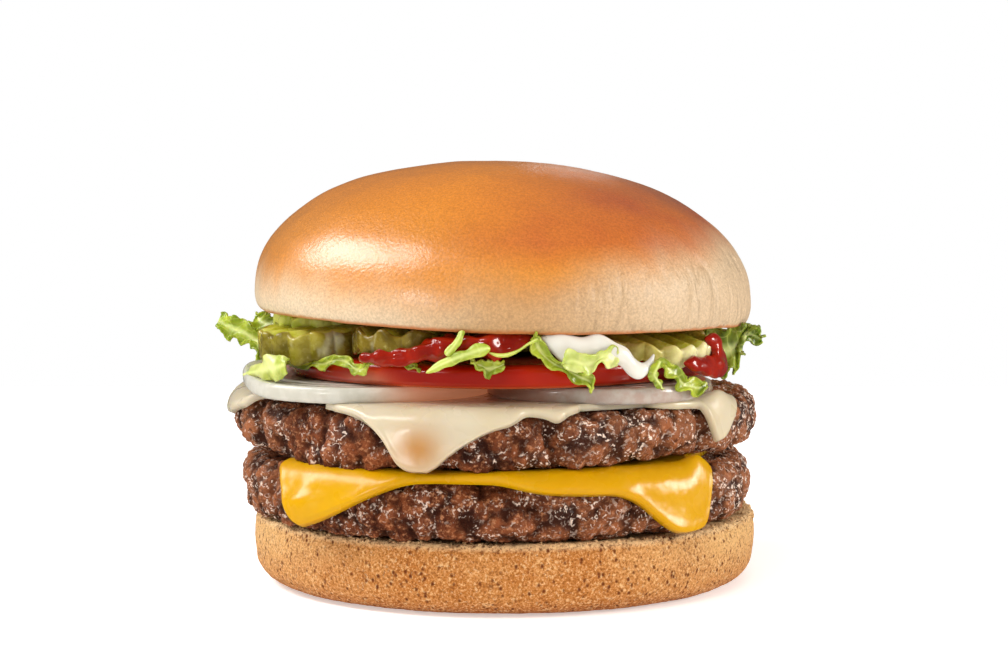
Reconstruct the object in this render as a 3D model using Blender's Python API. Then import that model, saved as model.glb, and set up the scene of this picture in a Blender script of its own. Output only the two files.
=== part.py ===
"""A double cheeseburger: two lumpy patties, a yellow and a white cheese slice that droop over them,
onion, tomato, lettuce, crinkle-cut pickles, ketchup and mayonnaise, between the halves of a bun.

Metres, +Z up. The origin is the centre of the bottom bun's flat underside, and -Y is the front.
Places in the filling are given as (angle, radius, height) about the stack's axis: angle in degrees,
0 at +X and 270 at the front, radius and height in millimetres.
"""

import math

import bmesh
import bpy
from mathutils import Matrix, Vector, noise

MM = 0.001
GAP = 0.3 * MM  # between pieces that rest on each other

# Buns
BUN_RADIUS = 54.6 * MM
BUN_BOTTOM_HEIGHT = 15.0 * MM
BUN_BOTTOM_ROUNDING = (7.0 * MM, 6.0 * MM)  # along the radius and along the height
BUN_RIM_ROUNDING = 1.0 * MM
BUN_TOP_HEIGHT = 33.5 * MM
BUN_TOP_BELLY = 4.0 * MM  # height of the widest level over the cut face
BUN_TOP_TUCK = 1.6 * MM  # how far the cut edge lies inside the widest level
BUN_TOP_POWER = 2.12  # 2 is an ellipse, more is squarer
BUN_TOP_CENTRE = (-0.6 * MM, 0.0, 57.7 * MM)
BUN_TOP_TILT = math.radians(1.8)  # down towards +X

# Patties
PATTY_CENTRE_X = -1.8 * MM
PATTY_EDGE = 5.0 * MM  # how deep the rounded side reaches in
LOWER_PATTY = {"radius": 56.2 * MM, "bottom": 15.3 * MM, "top": 28.0 * MM, "seed": 3.0}
UPPER_PATTY = {"radius": 56.8 * MM, "bottom": 30.8 * MM, "top": 41.2 * MM, "seed": 11.0}
LUMP_SIZE = 8.0 * MM
LUMP_DEPTH = 2.2 * MM
CLEFT_WIDTH = 3.2  # degrees
LOWER_CLEFTS = {12: 2.2, 64: 2.6, 118: 2.4, 163: 2.2, 214: 3.0, 243: 1.2, 283: 1.6, 331: 2.8}  # angle: depth
UPPER_CLEFTS = {23: 2.0, 79: 2.6, 131: 2.2, 176: 2.4, 217: 3.2, 262: 1.2, 291: 2.2, 330: 3.0}

# Cheese: (angle, drop) pairs. A drop is how far the edge hangs below the flat slice in millimetres,
# and a negative one is how far the edge stays inside the patty's flat top.
YELLOW_THICKNESS = 2.2 * MM
YELLOW_EDGE = (
    (10, -5), (38, 2), (47, 9), (54, 9.5), (64, 3), (90, 1.5), (118, 2.5), (132, 9), (139, 9.5),
    (147, 1), (170, -4), (205, -6), (217, -1), (221, 2), (224, 8), (228, 10.6), (233, 9.6), (240, 7),
    (248, 3.6), (253, 1.5), (267, 0.8), (276, 2.5), (284, 3.5), (294, 3.7), (300, 6.4), (306, 10.9),
    (311, 12.3), (315, 11.9), (317, 7), (319, 0.5), (330, -4),
)
WHITE_THICKNESS = 1.5 * MM
WHITE_EDGE = (
    (20, -4), (52, 0.5), (66, 6), (74, 9), (81, 8), (92, 2), (120, 0.5), (148, -0.5), (164, 2),
    (174, 4.6), (184, 4.0), (193, -1), (204, -9), (220, -10), (232, -8), (237, 0.5), (242, 2), (245.5, 5.4),
    (249, 9.9), (255, 10.2), (258, 8.6), (262, 5.9), (267, 3.2), (272, 2.2), (276.5, 0.4), (280.5, 1.1),
    (282.5, 1.8), (285.5, 0.6), (298, -0.4), (311, 0.4), (315.5, 2.6), (319, 7.2), (322, 6.6), (326, 3.6),
    (328.5, 0.6), (332, -3), (345, -5),
)

# Vegetables
ONION_THICKNESS = 2.4 * MM
ONION_BOTTOM = 43.3 * MM
ONION_SAG = 1.5 * MM
TOMATO_CENTRE = (-1.0 * MM, -3.0 * MM)
TOMATO_RADIUS = 47.0 * MM
TOMATO_HEIGHTS = (46.0 * MM, 50.8 * MM)
LEAF_THICKNESS = 0.7 * MM
LETTUCE_RIB_THICKNESS = 1.1 * MM
PICKLE_RIDGE = 5.6 * MM  # from crest to crest

# How finely the solids are divided
BUN_SIDES = 42
PATTY_SIDES = 64
CHEESE_STEP = 7.0  # degrees at most between the columns of a cheese slice


def material(name, colour, roughness):
    made = bpy.data.materials.new(name)
    made.use_nodes = True
    shader = made.node_tree.nodes["Principled BSDF"]
    shader.inputs["Base Color"].default_value = (*colour, 1.0)
    shader.inputs["Roughness"].default_value = roughness
    shader.inputs["Metallic"].default_value = 0.0
    return made


def clear_scene():
    for item in list(bpy.data.objects):
        bpy.data.objects.remove(item)


def add_object(name, shape, finish, location=(0, 0, 0), rotation=(0, 0, 0)):
    """Makes an object of a bmesh, with its faces pointing out, and frees the bmesh."""
    bmesh.ops.recalc_face_normals(shape, faces=shape.faces)
    mesh = bpy.data.meshes.new(name)
    shape.to_mesh(mesh)
    shape.free()
    mesh.shade_smooth()
    mesh.set_sharp_from_angle(angle=math.radians(50))
    mesh.materials.append(finish)
    made = bpy.data.objects.new(name, mesh)
    made.location = location
    made.rotation_euler = rotation
    bpy.context.scene.collection.objects.link(made)
    return made


def thicken(sheet_object, thickness, offset):
    """Gives a sheet its thickness, with both faces split into the same triangles."""
    shape = bmesh.new()
    shape.from_mesh(sheet_object.data)
    bmesh.ops.triangulate(shape, faces=shape.faces)
    shape.to_mesh(sheet_object.data)
    shape.free()
    solidify = sheet_object.modifiers.new("Thickness", "SOLIDIFY")
    solidify.thickness = thickness
    solidify.offset = offset


def loft(rings):
    """A closed bmesh through rings of points. A ring of one point is a pole. Any other end ring is capped."""
    shape = bmesh.new()
    loops = [[shape.verts.new(point) for point in ring] for ring in rings]
    for low, high in zip(loops, loops[1:]):
        sides = max(len(low), len(high))
        for i in range(sides):
            j = (i + 1) % sides
            corners = [low[i % len(low)], low[j % len(low)], high[j % len(high)], high[i % len(high)]]
            shape.faces.new(list(dict.fromkeys(corners)))
    for loop in (loops[0], loops[-1]):
        if len(loop) > 1:
            shape.faces.new(loop)
    return shape


def circle_angles(sides):
    return [math.tau * i / sides for i in range(sides)]


def on_circle(angle, radius, height, centre=(0.0, 0.0)):
    return Vector((centre[0] + radius * math.cos(angle), centre[1] + radius * math.sin(angle), height))


def place(angle, radius, height):
    """The point at an angle in degrees, and a radius and a height in millimetres, about the stack's axis."""
    return on_circle(math.radians(angle), radius * MM, height * MM)


def wobble(angle, seed, share):
    """A gentle unevenness of an outline, as a factor near 1."""
    waves = 0.6 * math.cos(2 * angle + seed)
    waves += 0.45 * math.cos(3 * angle + 2.3 * seed)
    waves += 0.3 * math.cos(5 * angle - seed)
    return 1 + share * waves


def smooth_cyclic(pairs, degrees):
    """A smooth curve through (angle, value) pairs round the circle."""
    degrees %= 360
    count = len(pairs)
    after = next((i for i, pair in enumerate(pairs) if pair[0] > degrees), count)
    knots = []
    for step in (-2, -1, 0, 1):
        turn, i = divmod(after + step, count)
        knots.append((pairs[i][0] + 360 * turn, pairs[i][1]))
    (a0, v0), (a1, v1), (a2, v2), (a3, v3) = knots
    span = a2 - a1
    t = (degrees - a1) / span
    start = (v2 - v0) / (a2 - a0) * span
    end = (v3 - v1) / (a3 - a1) * span
    start, end = (
        0.0 if (v2 - v1) * slope <= 0 else math.copysign(min(abs(slope), 3 * abs(v2 - v1)), slope)
        for slope in (start, end)
    )
    return (
        (2 * t**3 - 3 * t**2 + 1) * v1 + (t**3 - 2 * t**2 + t) * start
        + (3 * t**2 - 2 * t**3) * v2 + (t**3 - t**2) * end
    )


def bun_bottom(finish):
    """The heel: flat underside, rounded lower edge, nearly upright side and a cut face on top."""
    inward, upward = BUN_BOTTOM_ROUNDING
    profile = []
    for k in range(5):
        t = math.radians(90 * k / 4)
        profile.append((inward * (1 - math.sin(t)), upward * (1 - math.cos(t))))
    profile.append((0.0, 0.55 * BUN_BOTTOM_HEIGHT))
    profile.append((0.2 * MM, BUN_BOTTOM_HEIGHT - BUN_RIM_ROUNDING))
    profile.append((0.2 * MM + BUN_RIM_ROUNDING, BUN_BOTTOM_HEIGHT))
    rings = []
    for inset, height in profile:
        rings.append([
            on_circle(angle, BUN_RADIUS * wobble(angle, 0.7, 0.005) - inset, height)
            for angle in circle_angles(BUN_SIDES)
        ])
    add_object("bun_bottom", loft(rings), finish)


def bun_top(finish):
    """The crown: a domed roll on a flat cut face, tipped a little to the right."""
    rounding = 2 / BUN_TOP_POWER
    profile = []
    for k in range(3):
        t = math.radians(90 * (1 - k / 2.5))
        profile.append((BUN_RADIUS - BUN_TOP_TUCK * (1 - math.cos(t)), BUN_TOP_BELLY * (1 - math.sin(t))))
    for k in range(9):
        t = math.radians(90 * k / 9)
        rise = (BUN_TOP_HEIGHT - BUN_TOP_BELLY) * math.sin(t) ** rounding
        profile.append((BUN_RADIUS * math.cos(t) ** rounding, BUN_TOP_BELLY + rise))
    rings = [
        [on_circle(angle, radius * wobble(angle, 2.1, 0.006), height) for angle in circle_angles(BUN_SIDES)]
        for radius, height in profile
    ]
    rings.append([Vector((0, 0, BUN_TOP_HEIGHT))])
    add_object("bun_top", loft(rings), finish, BUN_TOP_CENTRE, (0, BUN_TOP_TILT, 0))


def patty_outline(patty, angle):
    """The patty's outermost radius at an angle. Lumps and clefts only go inwards from it."""
    return patty["radius"] * wobble(angle, patty["seed"], 0.009)


def patty_side(patty, t):
    """(inset, height) on the rounded side, for t from -90 degrees at the bottom to 90 at the top."""
    middle = (patty["top"] + patty["bottom"]) / 2
    half = (patty["top"] - patty["bottom"]) / 2
    upward = math.copysign(abs(math.sin(t)) ** 0.85, t)
    return PATTY_EDGE * (1 - math.cos(t) ** 0.85), middle + half * upward


def cleft_depth(clefts, angle, height):
    """How deep the cracks between the patty's knuckles cut in here. They lean a little with height."""
    degrees = math.degrees(angle) + 250 * height
    depth = 0.0
    for place_of, deep in clefts.items():
        away = (degrees - place_of + 180) % 360 - 180
        depth += deep * MM * math.exp(-((away / CLEFT_WIDTH) ** 2))
    return depth


def patty(name, sizes, clefts, finish):
    """A hand-formed patty: rounded side, knuckles parted by clefts, and lumps all over."""
    centre = (PATTY_CENTRE_X, 0.0)
    angles = circle_angles(PATTY_SIDES)
    rings = [[Vector((PATTY_CENTRE_X, 0, sizes["bottom"] + 0.4 * MM))]]
    stations = [(0.5, -90)] + [(1.0, t) for t in (-90, -60, -32, -4, 26, 56, 90)] + [(0.5, 90)]
    for share, degrees in stations:
        inset, height = patty_side(sizes, math.radians(degrees))
        ring = []
        for angle in angles:
            radius = share * (patty_outline(sizes, angle) - inset)
            point = on_circle(angle, radius, height, centre)
            lump = max(0.0, 0.5 + 0.8 * noise.noise(point / LUMP_SIZE + Vector((sizes["seed"], 0, 0))))
            deep = LUMP_DEPTH * lump * lump * math.cos(math.radians(degrees)) ** 0.5
            deep += cleft_depth(clefts, angle, height) * math.cos(math.radians(degrees))
            sink = 0.8 * MM * lump * math.copysign(math.sin(math.radians(degrees)) ** 2, degrees)
            ring.append(on_circle(angle, radius - deep, height - sink, centre))
        rings.append(ring)
    rings.append([Vector((PATTY_CENTRE_X, 0, sizes["top"] - 0.4 * MM))])
    add_object(name, loft(rings), finish)


def drape_profile(patty_sizes, angle, bottom):
    """The line that a slice's underside follows, from the axis out over the patty's edge and down:
    a list of (radius, height), with the flat part's end as its second point."""
    outline = patty_outline(patty_sizes, angle) + 2.5 * GAP
    line = [(0.0, bottom), (outline - PATTY_EDGE, bottom)]
    fall = bottom - (patty_sizes["top"] + patty_sizes["bottom"]) / 2
    for k in range(1, 9):
        t = math.radians(90 * (1 - k / 8))
        radius = outline - PATTY_EDGE * (1 - math.cos(t) ** 0.7)
        line.append((radius, bottom - fall * (1 - math.sin(t) ** 0.7)))
    line.append((outline + 0.8 * MM, line[-1][1] - 20 * MM))
    return line


def walk(line, distance):
    """The (radius, height) at a distance along a line of such points."""
    for (r0, z0), (r1, z1) in zip(line, line[1:]):
        length = math.hypot(r1 - r0, z1 - z0)
        if distance <= length or (r1, z1) == line[-1]:
            share = distance / length
            return r0 + share * (r1 - r0), z0 + share * (z1 - z0)
        distance -= length


def reach_for(line, drop):
    """How far along the line an edge with this drop in millimetres lies."""
    distance = line[1][0]
    if drop <= 0:
        return distance + drop * MM
    floor = line[0][1] - drop * MM
    for (r0, z0), (r1, z1) in zip(line[1:], line[2:]):
        length = math.hypot(r1 - r0, z1 - z0)
        if z1 <= floor:
            return distance + length * (z0 - floor) / (z0 - z1)
        distance += length
    return distance


def column_angles(edge):
    """An angle at each (angle, drop) pair, and evenly spaced ones between any that are far apart."""
    angles = []
    for (start, _), (end, _) in zip(edge, edge[1:] + edge[:1]):
        span = (end - start) % 360
        parts = math.ceil(span / CHEESE_STEP)
        angles += [math.radians(start + span * k / parts) for k in range(parts)]
    return angles


def cheese(name, under, bottom, thickness, edge, finish):
    """A melted slice: flat on its patty, then bent over the rounded edge, with corners that hang.
    The mesh is the slice's underside, and a Solidify modifier thickens it outwards."""
    centre = (PATTY_CENTRE_X, 0.0)
    columns = []
    for angle in column_angles(edge):
        line = drape_profile(under, angle, bottom)
        reach = reach_for(line, smooth_cyclic(edge, math.degrees(angle)))
        flat = min(line[1][0], reach - 3 * MM)
        distances = [0.55 * flat] + [flat + share * (reach - flat) for share in (0.0, 0.36, 0.7, 1.0)]
        columns.append([on_circle(angle, *walk(line, distance), centre) for distance in distances])
    shape = bmesh.new()
    middle = shape.verts.new((PATTY_CENTRE_X, 0, bottom))
    columns = [[shape.verts.new(point) for point in column] for column in columns]
    for here, there in zip(columns, columns[1:] + columns[:1]):
        shape.faces.new([middle, here[0], there[0]])
        for k in range(len(here) - 1):
            shape.faces.new([here[k], here[k + 1], there[k + 1], there[k]])
    thicken(add_object(name, shape, finish), thickness, 1)


def disc(rings, radius_at, height_at, centre, sides):
    """The rings of a round slice. Each is given as a share of the radius, an inset from the edge, and a side
    from -1 for the underside to 1 for the upper one."""
    made = []
    for share, inset, side in rings:
        if share == 0:
            made.append([Vector((*centre, height_at(Vector(centre), side, 0)))])
            continue
        ring = []
        for angle in circle_angles(sides):
            point = on_circle(angle, share * radius_at(angle) - inset, 0, centre)
            point.z = height_at(point.xy, side, inset)
            ring.append(point)
        made.append(ring)
    return made


def onion_slice(name, centre, radius, finish):
    """A thin round slice that sags where it reaches past the cheese at the front left."""

    def height_at(point, side, inset):
        degrees = math.degrees(math.atan2(point.y, point.x)) % 360
        out = max(0.0, point.length - 44 * MM) / (12 * MM)
        sag = ONION_SAG * min(out, 1.2) ** 2 * math.exp(-(((degrees - 219) / 13) ** 2))
        return ONION_BOTTOM + ONION_THICKNESS * (0.5 + 0.5 * side) - side * inset * 0.8 - sag

    edge = 0.6 * MM
    rings = ((0, 0, -1), (0.6, 0, -1), (1, edge, -1), (1, 0, 0), (1, edge, 1), (0.6, 0, 1), (0, 0, 1))
    middle = (centre[0] * MM, centre[1] * MM)

    def radius_at(angle):
        return radius * MM * wobble(angle, centre[0], 0.012)

    add_object(name, loft(disc(rings, radius_at, height_at, middle, 30)), finish)


def tomato_slice(finish):
    """A thick slice with a lobed outline and a bulging skin side."""
    low, high = TOMATO_HEIGHTS

    def height_at(_, side, inset):
        return (low + high) / 2 + side * ((high - low) / 2 - 0.4 * inset)

    def radius_at(angle):
        return TOMATO_RADIUS * (1 + 0.012 * math.cos(5 * angle + 0.9) + 0.006 * math.cos(3 * angle))

    rings = (
        (0, 0, -1), (0.985, 1.0 * MM, -1), (1, 0, -0.55), (1, -0.3 * MM, 0.1), (1, 0.1 * MM, 0.65),
        (0.985, 0.9 * MM, 1), (0, 0, 1),
    )
    add_object("tomato_slice", loft(disc(rings, radius_at, height_at, TOMATO_CENTRE, 36)), finish)


def pickle_slice(name, where, radius, thickness, ridge, ridge_turn, tip, tip_towards, finish):
    """A crinkle-cut slice, wavy across its ridges, tipped down towards an angle by some degrees."""
    sides = 28
    turn = math.radians(ridge_turn)
    outline = ((0, 0, -1), (0.6, 0, -1), (1, 0.5, -1), (1, 0, 0), (1, 0.5, 1), (0.6, 0, 1), (0, 0, 1))
    rings = []
    for share, inset, side in outline:
        ring = []
        for angle in circle_angles(1 if share == 0 else sides):
            out = (share * radius * wobble(angle, radius, 0.02) - inset) * MM
            point = Vector((out * math.cos(angle), out * math.sin(angle), 0))
            along = point.x * math.cos(turn) + point.y * math.sin(turn)
            wave = ridge * MM * math.cos(math.tau * along / PICKLE_RIDGE)
            point.z = wave + side * (thickness / 2 - 0.4 * inset) * MM
            ring.append(point)
        rings.append(ring)
    axis_angle = math.radians(tip_towards + 90)
    tipping = Matrix.Rotation(math.radians(tip), 3, on_circle(axis_angle, 1, 0))
    add_object(name, loft(rings), finish, place(*where), tipping.to_euler())


def bend_through(points, count):
    """Points evenly spread along a smooth curve through a few given ones (Catmull-Rom)."""
    padded = [2 * points[0] - points[1], *points, 2 * points[-1] - points[-2]]
    spans = len(points) - 1
    made = []
    for k in range(count):
        position = spans * k / (count - 1)
        i = min(int(position), spans - 1)
        t = position - i
        a, b, c, d = padded[i : i + 4]
        square = (2 * a - 5 * b + 4 * c - d) * t**2
        cube = (3 * b - a - 3 * c + d) * t**3
        made.append(0.5 * (2 * b + (c - a) * t + square + cube))
    return made


def sheet(name, finish, thickness, spine, widths, roll, ruffle=0.0, waves=3.0, lengths=11, across=4):
    """A thin wavy solid along a spine of places. widths are half-widths in millimetres along it, and roll
    turns the sheet about the spine, in degrees, from lying flat. Ruffles grow towards the long edges."""
    middle = bend_through([place(*station) for station in spine], lengths)
    spread = bend_through([Vector((width, turn, 0)) for width, turn in zip(widths, roll)], lengths)
    shape = bmesh.new()
    rows = []
    for k, point in enumerate(middle):
        along = (middle[min(k + 1, lengths - 1)] - middle[max(k - 1, 0)]).normalized()
        level = along.cross(Vector((0, 0, 1)))
        if level.length < 0.2:
            level = Vector((point.y, -point.x, 0))
        cross = Matrix.Rotation(math.radians(spread[k].y), 3, along) @ level.normalized()
        normal = cross.cross(along).normalized()
        row = []
        for j in range(across + 1):
            side = 2 * j / across - 1
            phase = math.tau * waves * k / (lengths - 1) + (1.3 if side > 0 else 0.0)
            lift = ruffle * MM * abs(side) ** 1.5 * math.sin(phase)
            row.append(shape.verts.new(point + cross * (side * spread[k].x * MM) + normal * lift))
        rows.append(row)
    for here, there in zip(rows, rows[1:]):
        for j in range(across):
            shape.faces.new([here[j], there[j], there[j + 1], here[j + 1]])
    thicken(add_object(name, shape, finish), thickness, 0)


def lettuce_bed(finish):
    """The crumpled middle of the lettuce, which runs through the stack under the sauces."""
    low, high = 51.2, 56.4
    outline = ((0, low), (0.6, low), (0.95, low + 0.4), (1, 53.8), (0.93, high - 0.5), (0.55, high), (0, high))
    rings = []
    for share, height in outline:
        ring = []
        for angle in circle_angles(1 if share == 0 else 24):
            radius = share * (26 + 5 * max(0.0, math.sin(angle)))
            radius *= 1 + 0.08 * math.cos(4 * angle + 1) + 0.05 * math.cos(9 * angle)
            crumple = 0.3 * share * math.cos(7 * angle + share * 4) if height > 52 else 0.0
            ring.append(on_circle(angle, radius * MM, (height + crumple) * MM))
        rings.append(ring)
    add_object("lettuce_bed", loft(rings), finish)


def front_leaves(finish):
    """Torn lettuce that shows from the front, from left to right. A roll near 90 stands a leaf on edge."""
    leaf = LEAF_THICKNESS
    rib = LETTUCE_RIB_THICKNESS
    sheet(
        "lettuce_far_left", finish, leaf,
        spine=[(184, 38, 52.2), (185, 47, 52.4), (186, 53, 51.6), (186, 58.5, 54.2), (186, 63.2, 56.6)],
        widths=[4, 4.2, 3.4, 2.6, 1.0], roll=[0, 5, 25, 35, 30], ruffle=0.5,
    )
    sheet(
        "lettuce_left_tip", finish, leaf,
        spine=[(172, 36, 53.4), (173, 46, 54.2), (175, 56, 57.0)],
        widths=[4, 3.6, 0.9], roll=[0, 10, 20], ruffle=0.5, lengths=8,
    )
    sheet(
        "lettuce_left_low", finish, leaf,
        spine=[(201, 51.8, 49.4), (203, 53.0, 47.8), (205, 56.0, 46.8), (204, 58.6, 46.6)],
        widths=[1.8, 3.6, 3.8, 1.4], roll=[0, 0, 0, 0], ruffle=0.35, lengths=8,
    )
    sheet(
        "lettuce_front_left", finish, leaf,
        spine=[(212, 51.2, 49.4), (221, 51.2, 49.3), (229, 51.2, 48.9), (235, 51.2, 48.6), (241, 51.2, 49.6),
               (251, 51.2, 50.2)],
        widths=[1.0, 1.3, 1.4, 1.6, 0.9, 0.5], roll=[80] * 6, ruffle=0.35, waves=5, lengths=17, across=3,
    )
    sheet(
        "lettuce_rib_long", finish, rib,
        spine=[(253, 55.2, 50.4), (258, 55.4, 51.3), (263, 55.2, 52.6), (267, 54.6, 54.6)],
        widths=[0.9, 1.3, 1.4, 1.1], roll=[85] * 4, lengths=9, across=3,
    )
    sheet(
        "lettuce_rib_short", finish, rib,
        spine=[(262, 54.6, 57.0), (260, 54.8, 55.4), (258, 55.2, 53.6)],
        widths=[0.8, 0.9, 0.8], roll=[-85] * 3, lengths=7, across=3,
    )
    sheet(
        "lettuce_front_low", finish, leaf,
        spine=[(262, 52.2, 50.2), (265, 52.6, 49.6), (269.5, 52.4, 49.3)],
        widths=[0.9, 1.6, 1.3], roll=[80] * 3, ruffle=0.3, lengths=7, across=3,
    )
    sheet(
        "lettuce_strip", finish, leaf,
        spine=[(268.5, 53.8, 52.0), (271, 54.0, 51.9), (274, 54.0, 53.2), (277, 53.8, 55.4)],
        widths=[0.5, 0.6, 0.6, 0.5], roll=[85] * 4, lengths=9, across=2,
    )
    sheet(
        "lettuce_front_blade", finish, leaf,
        spine=[(278, 53.8, 56.6), (279, 54.6, 53.4), (282, 54.4, 50.6), (286, 54.2, 48.6), (289.8, 54.2, 46.6)],
        widths=[1.0, 1.9, 1.8, 1.6, 0.7], roll=[-60, -70, 85, 85, 85], ruffle=0.3,
    )
    sheet(
        "lettuce_front_face", finish, leaf,
        spine=[(282.5, 56.4, 53.0), (286, 57.0, 52.0), (290, 56.4, 51.2), (293.5, 55.4, 53.4)],
        widths=[1.4, 2.3, 1.8, 1.1], roll=[70, 70, 75, 80], ruffle=0.4, lengths=10,
    )
    sheet(
        "lettuce_right_bit", finish, leaf,
        spine=[(302.6, 55.6, 49.6), (303.8, 55.8, 47.4), (305, 55.6, 45.6)],
        widths=[0.7, 1.1, 0.8], roll=[0, 0, 0], lengths=7, across=3,
    )
    sheet(
        "lettuce_right_low", finish, leaf,
        spine=[(308, 54.8, 50.6), (310, 55.4, 48.8), (313, 55.9, 46.8), (318, 56.0, 46.0)],
        widths=[0.8, 1.3, 2.2, 1.5], roll=[50, 60, 80, 85], ruffle=0.4, lengths=10,
    )
    sheet(
        "lettuce_far_right", finish, leaf,
        spine=[(335, 51.0, 46.2), (336.5, 51.4, 49.4), (339, 52.6, 52.6), (346, 57.6, 55.8)],
        widths=[2.6, 3.8, 3.8, 1.0], roll=[0, 0, 0, 0], ruffle=0.5,
    )


def back_leaves(finish):
    """Broad leaves that hang over the tomato at the back."""
    leaf = LEAF_THICKNESS
    sheet(
        "lettuce_back_right", finish, leaf,
        spine=[(18, 34, 53.0), (20, 42, 52.6), (21, 50, 52.0), (22, 57.5, 50.4)],
        widths=[8, 12, 12, 6], roll=[0] * 4, ruffle=1.2, waves=3.5, across=6,
    )
    sheet(
        "lettuce_back", finish, leaf,
        spine=[(99, 35, 53.0), (100, 42, 52.6), (101, 49, 52.0), (102, 56.5, 49.6)],
        widths=[8, 12, 13, 7], roll=[0] * 4, ruffle=1.2, waves=3.5, across=6,
    )
    sheet(
        "lettuce_back_left", finish, leaf,
        spine=[(143, 34, 53.0), (143, 42, 52.6), (142, 50, 52.2), (141, 59, 51.8)],
        widths=[8, 11, 12, 6], roll=[0] * 4, ruffle=1.1, waves=3, across=6,
    )


def sauces(ketchup, mayonnaise):
    """What has run out to the edge of the filling."""
    sheet(
        "ketchup_front", ketchup, 1.8 * MM,
        spine=[(238, 53.4, 51.0), (243, 53.4, 50.9), (249, 53.8, 50.9), (256, 52.4, 53.0), (264, 51.2, 53.8),
               (271, 50.4, 53.8)],
        widths=[0.6, 1.2, 1.4, 2.0, 2.3, 1.5], roll=[80] * 6, lengths=14, across=3,
    )
    sheet(
        "ketchup_right", ketchup, 1.6 * MM,
        spine=[(314, 54.8, 49.4), (320, 54.6, 48.8), (326, 54.0, 48.6), (329.5, 53.6, 51.4),
               (330.5, 53.0, 54.4)],
        widths=[0.7, 1.2, 1.5, 1.2, 1.0], roll=[80] * 5, lengths=12, across=3,
    )
    sheet(
        "mayonnaise", mayonnaise, 1.8 * MM,
        spine=[(275, 44, 54.4), (281, 51.0, 54.3), (289, 52.8, 54.0), (296, 53.4, 51.8), (301, 53.6, 49.2),
               (306, 53.0, 51.6)],
        widths=[1.4, 2.3, 2.2, 2.1, 1.3, 0.6], roll=[80] * 6, lengths=16, across=3,
    )


def main():
    clear_scene()
    crust = material("crust", (0.62, 0.28, 0.08), 0.4)
    crumb = material("crumb", (0.66, 0.36, 0.14), 0.75)
    meat = material("meat", (0.10, 0.035, 0.018), 0.4)
    yellow = material("yellow_cheese", (0.90, 0.50, 0.03), 0.3)
    white = material("white_cheese", (0.82, 0.68, 0.45), 0.3)
    onion = material("onion", (0.75, 0.72, 0.62), 0.25)
    tomato = material("tomato", (0.50, 0.03, 0.015), 0.25)
    leaf = material("lettuce", (0.38, 0.50, 0.06), 0.45)
    pickle = material("pickle", (0.30, 0.30, 0.05), 0.35)
    ketchup = material("ketchup", (0.38, 0.015, 0.01), 0.15)
    mayonnaise = material("mayonnaise", (0.80, 0.77, 0.66), 0.25)

    bun_bottom(crumb)
    patty("patty_lower", LOWER_PATTY, LOWER_CLEFTS, meat)
    cheese("cheese_yellow", LOWER_PATTY, LOWER_PATTY["top"] + GAP, YELLOW_THICKNESS, YELLOW_EDGE, yellow)
    patty("patty_upper", UPPER_PATTY, UPPER_CLEFTS, meat)
    cheese("cheese_white", UPPER_PATTY, UPPER_PATTY["top"] + GAP, WHITE_THICKNESS, WHITE_EDGE, white)
    onion_slice("onion_left", (-27.5, -19.0), 26.0, onion)
    onion_slice("onion_right", (21.5, -23.0), 22.4, onion)
    onion_slice("onion_back", (2.0, 25.0), 24.0, onion)
    tomato_slice(tomato)
    lettuce_bed(leaf)
    pickle_slice("pickle_front_left", (209, 44.5, 53.4), 12.8, 2.9, 0.5, 60, 5, 212, pickle)
    pickle_slice("pickle_front", (243, 42.0, 54.9), 11.8, 3.1, 0.8, 10, 2, 243, pickle)
    pickle_slice("pickle_top_left", (197, 38.0, 57.3), 13.0, 1.7, 0.2, 100, -1.8, 180, pickle)
    pickle_slice("pickle_right", (318, 41.5, 53.6), 12.5, 3.0, 0.6, 30, 5, 318, pickle)
    pickle_slice("pickle_back", (62, 44.0, 53.3), 12.5, 3.0, 0.5, 80, 3, 62, pickle)
    front_leaves(leaf)
    back_leaves(leaf)
    sauces(ketchup, mayonnaise)
    bun_top(crust)


main()
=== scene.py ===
# %% [markdown]
# # A double cheeseburger
#
# A burger is a stack of very different surfaces: baked crust, grilled meat, melted cheese, wet
# vegetables and glossy sauces. This script loads the solid model as a frame, and then makes each
# layer again as a fine mesh with its own finish. Every piece stays where its solid is, so the frame
# gives the places and this script gives the looks.

import math

import bmesh
import bpy
import numpy as np
from mathutils import Euler, Matrix, Vector, noise


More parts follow.
